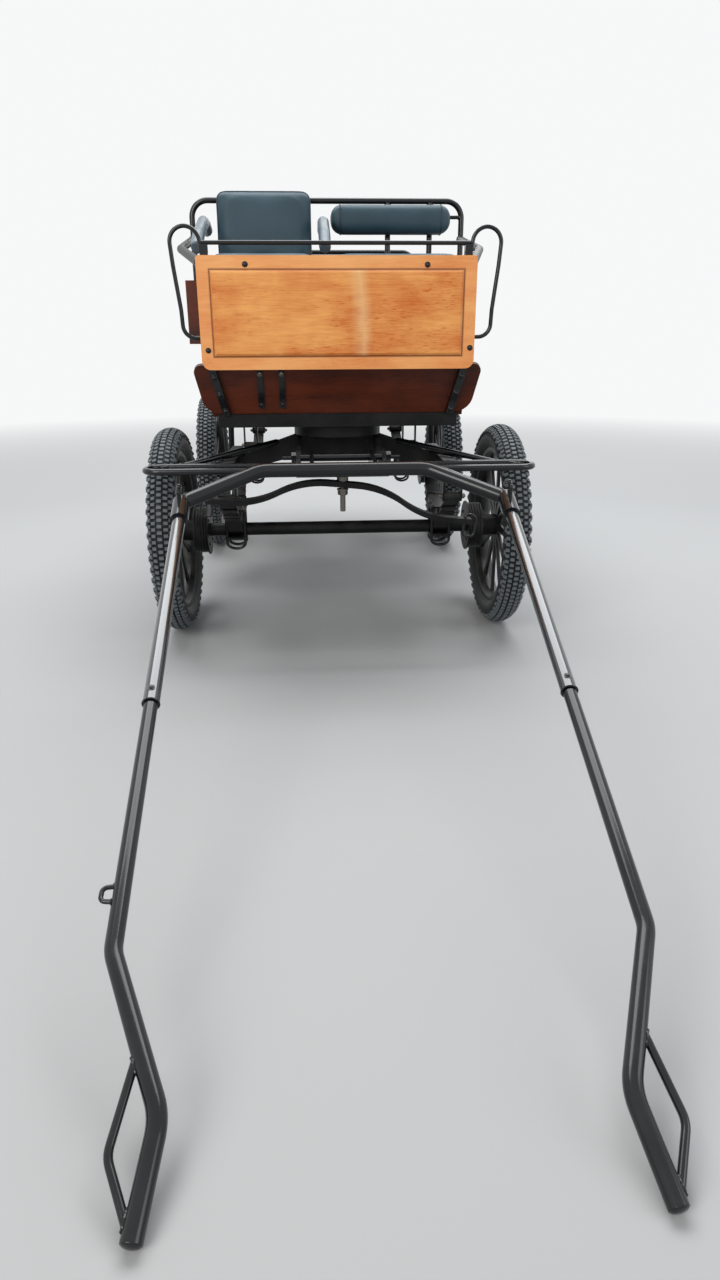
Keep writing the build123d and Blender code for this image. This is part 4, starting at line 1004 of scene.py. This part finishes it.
shaftValues = {
    "root": (0.446, 0), "bend": (0.407, 1.3), "heel": (0.309, 1.530), "tip": (0.324, 1.665),  # x and s of the tube
    "bowRoot": (0.347, 1.440), "bowKink": (0.368, 1.572), "bowFoot": (0.330, 1.652),
    "mouth": (0.42275, 0.775), "lockBolt": (0.4237, 0.745), "pins": (0.034, 0.062), "staple": (1.188, 1.216),
    "tubeRadius": 0.014, "socketRadius": 0.024, "lipRadius": 0.0168,
    "plug": [(0, -0.002, 0), (0.0136, -0.002, 0), (0.0136, 0, 0), (0.0128, 0.0012, 0), (0.0096, 0.0030, 0),
             (0.0050, 0.0041, 0), (0, 0.0044, 0)],
}


def shaftFittings():
    # lips of the sleeves, rounded plugs in the tips, weld rings of the bows, staple and crossbar
    v = shaftValues
    radius, socketRadius, lip = v["tubeRadius"], v["socketRadius"], v["lipRadius"]
    black = []
    for side in (-1, 1):
        root, bend, heel, tip = (onShaft(side, *v[key]) for key in ("root", "bend", "heel", "tip"))
        bowRoot, kink, foot = (onShaft(side, *v[key]) for key in ("bowRoot", "bowKink", "bowFoot"))
        along, last = unit(bend - root), unit(tip - heel)
        u = unit(np.cross(along, (1, 0, 0)))
        up = u * np.sign(u[2])
        mouth = circle(onShaft(side, *v["mouth"]), lip, u, np.cross(along, u), 32)
        black.append(tube(mouth, 0.0018, along, True, 8))
        black += boltsAt(0.0055, [onShaft(side, *v["lockBolt"]) + lip * up], up, 12)
        black += turned(v["plug"], [tip], last, 24)
        black += [weldRing(bowRoot, kink - bowRoot, 0.006, axis=heel - bend, outer=radius),
                  weldRing(foot, kink - foot, 0.006, tip, last, radius),
                  weldRing(root, at(side * 0.235, -0.520, 0.635) - root, 0.020, axis=along, outer=socketRadius)]
        for s in v["pins"]:
            pin = onShaft(side, 0.446 - 0.03 * s, s)
            black.append(weldRing(pin, (0, 0, 1), 0.004, axis=along, outer=socketRadius, size=0.0018))
            black += nutsAt(0.0062, [pin + [0, 0, 0.058]], (0, 0, 1))
    along = onShaft(-1, *v["bend"]) - onShaft(-1, *v["root"])
    for s in v["staple"]:  # on the right-hand tube
        spot = onShaft(-1, 0.40994, s)
        black.append(weldRing(spot, onShaft(-1, 0.5, s) - spot, 0.004, axis=along, outer=radius, size=0.0018))
    return black


bodySteel, bodyBlack = bodyFittings()
rearZ, frontZ = 0.365, 0.350  # heights of the axles
rearNuts, rearBlack = springFittings(rearAxleY, rearZ, *springValues["rear"])
frontNuts, frontBlack = springFittings(frontAxleY, frontZ, *springValues["front"])
rearBlack += axleFittings(rearAxleY, rearZ)
frontBlack += axleFittings(frontAxleY, frontZ)
for name, shapes, slotName, body in (
        ("bodyNuts", bodySteel + rearNuts, "bright_steel", "carriage_body"),
        ("bodyFittings", bodyBlack + rearBlack, "black_steel", "carriage_body"),
        ("frontNuts", frontNuts, "bright_steel", "front_carriage"),
        ("frontFittings", frontFittings() + frontBlack, "black_steel", "front_carriage"),
        ("shaftFittings", shaftFittings(), "black_steel", "shafts")):
    addPiece(name, shapes, slotName, body, finish="darkNut" if slotName == "bright_steel" else None)
print("bolts, clips and welds are on")


# Floor mat

matValues = {"x": 0.368, "y": (-0.085, 0.320), "z": 0.7734, "rib": 0.0022, "pitch": 0.012, "margin": 0.022}


def floorMat():
    # a thin ribbed sheet: height z + rib times a clipped cosine of x, flat along a margin, with a closed underside
    v = matValues
    (front, back), margin, fade = v["y"], v["margin"], 0.004
    x = np.linspace(-v["x"], v["x"], 369)
    y = [front, front + margin, front + margin + fade, back - margin - fade, back - margin, back]
    gridY, gridX = np.meshgrid(y, x, indexing="ij")
    inside = (gridY > front + margin) & (gridY < back - margin) & (np.abs(gridX) < v["x"] - margin)
    rib = np.clip(1.5 * np.cos(2 * np.pi * gridX / v["pitch"]), -1, 1) * 0.5 + 0.5
    top = np.stack([gridX, gridY + frontAxleY, v["z"] + 0.0012 + v["rib"] * rib * inside], -1)
    bottom = top * [1, 1, 0] + [0, 0, v["z"]]
    rows, columns = top.shape[:2]
    upper = gridFaces(rows, columns, False, False)[:, ::-1]
    lower = gridFaces(rows, columns, False, False) + rows * columns
    grid = np.arange(rows * columns).reshape(rows, columns)
    loop = np.concatenate([grid[0], grid[1:, -1], grid[-1, -2::-1], grid[-2:0:-1, 0]])
    after = np.roll(loop, -1)
    sides = np.stack([loop, loop + grid.size, after + grid.size, after], 1)
    points = np.concatenate([top.reshape(-1, 3), bottom.reshape(-1, 3)])
    return [(points, np.concatenate([upper, lower, sides]).tolist())]


addPiece("floorMat", floorMat(), "tyre", "carriage_body", finish="matRubber")
print("floor mat is laid")

bpy.context.scene.view_settings.view_transform = "Standard"
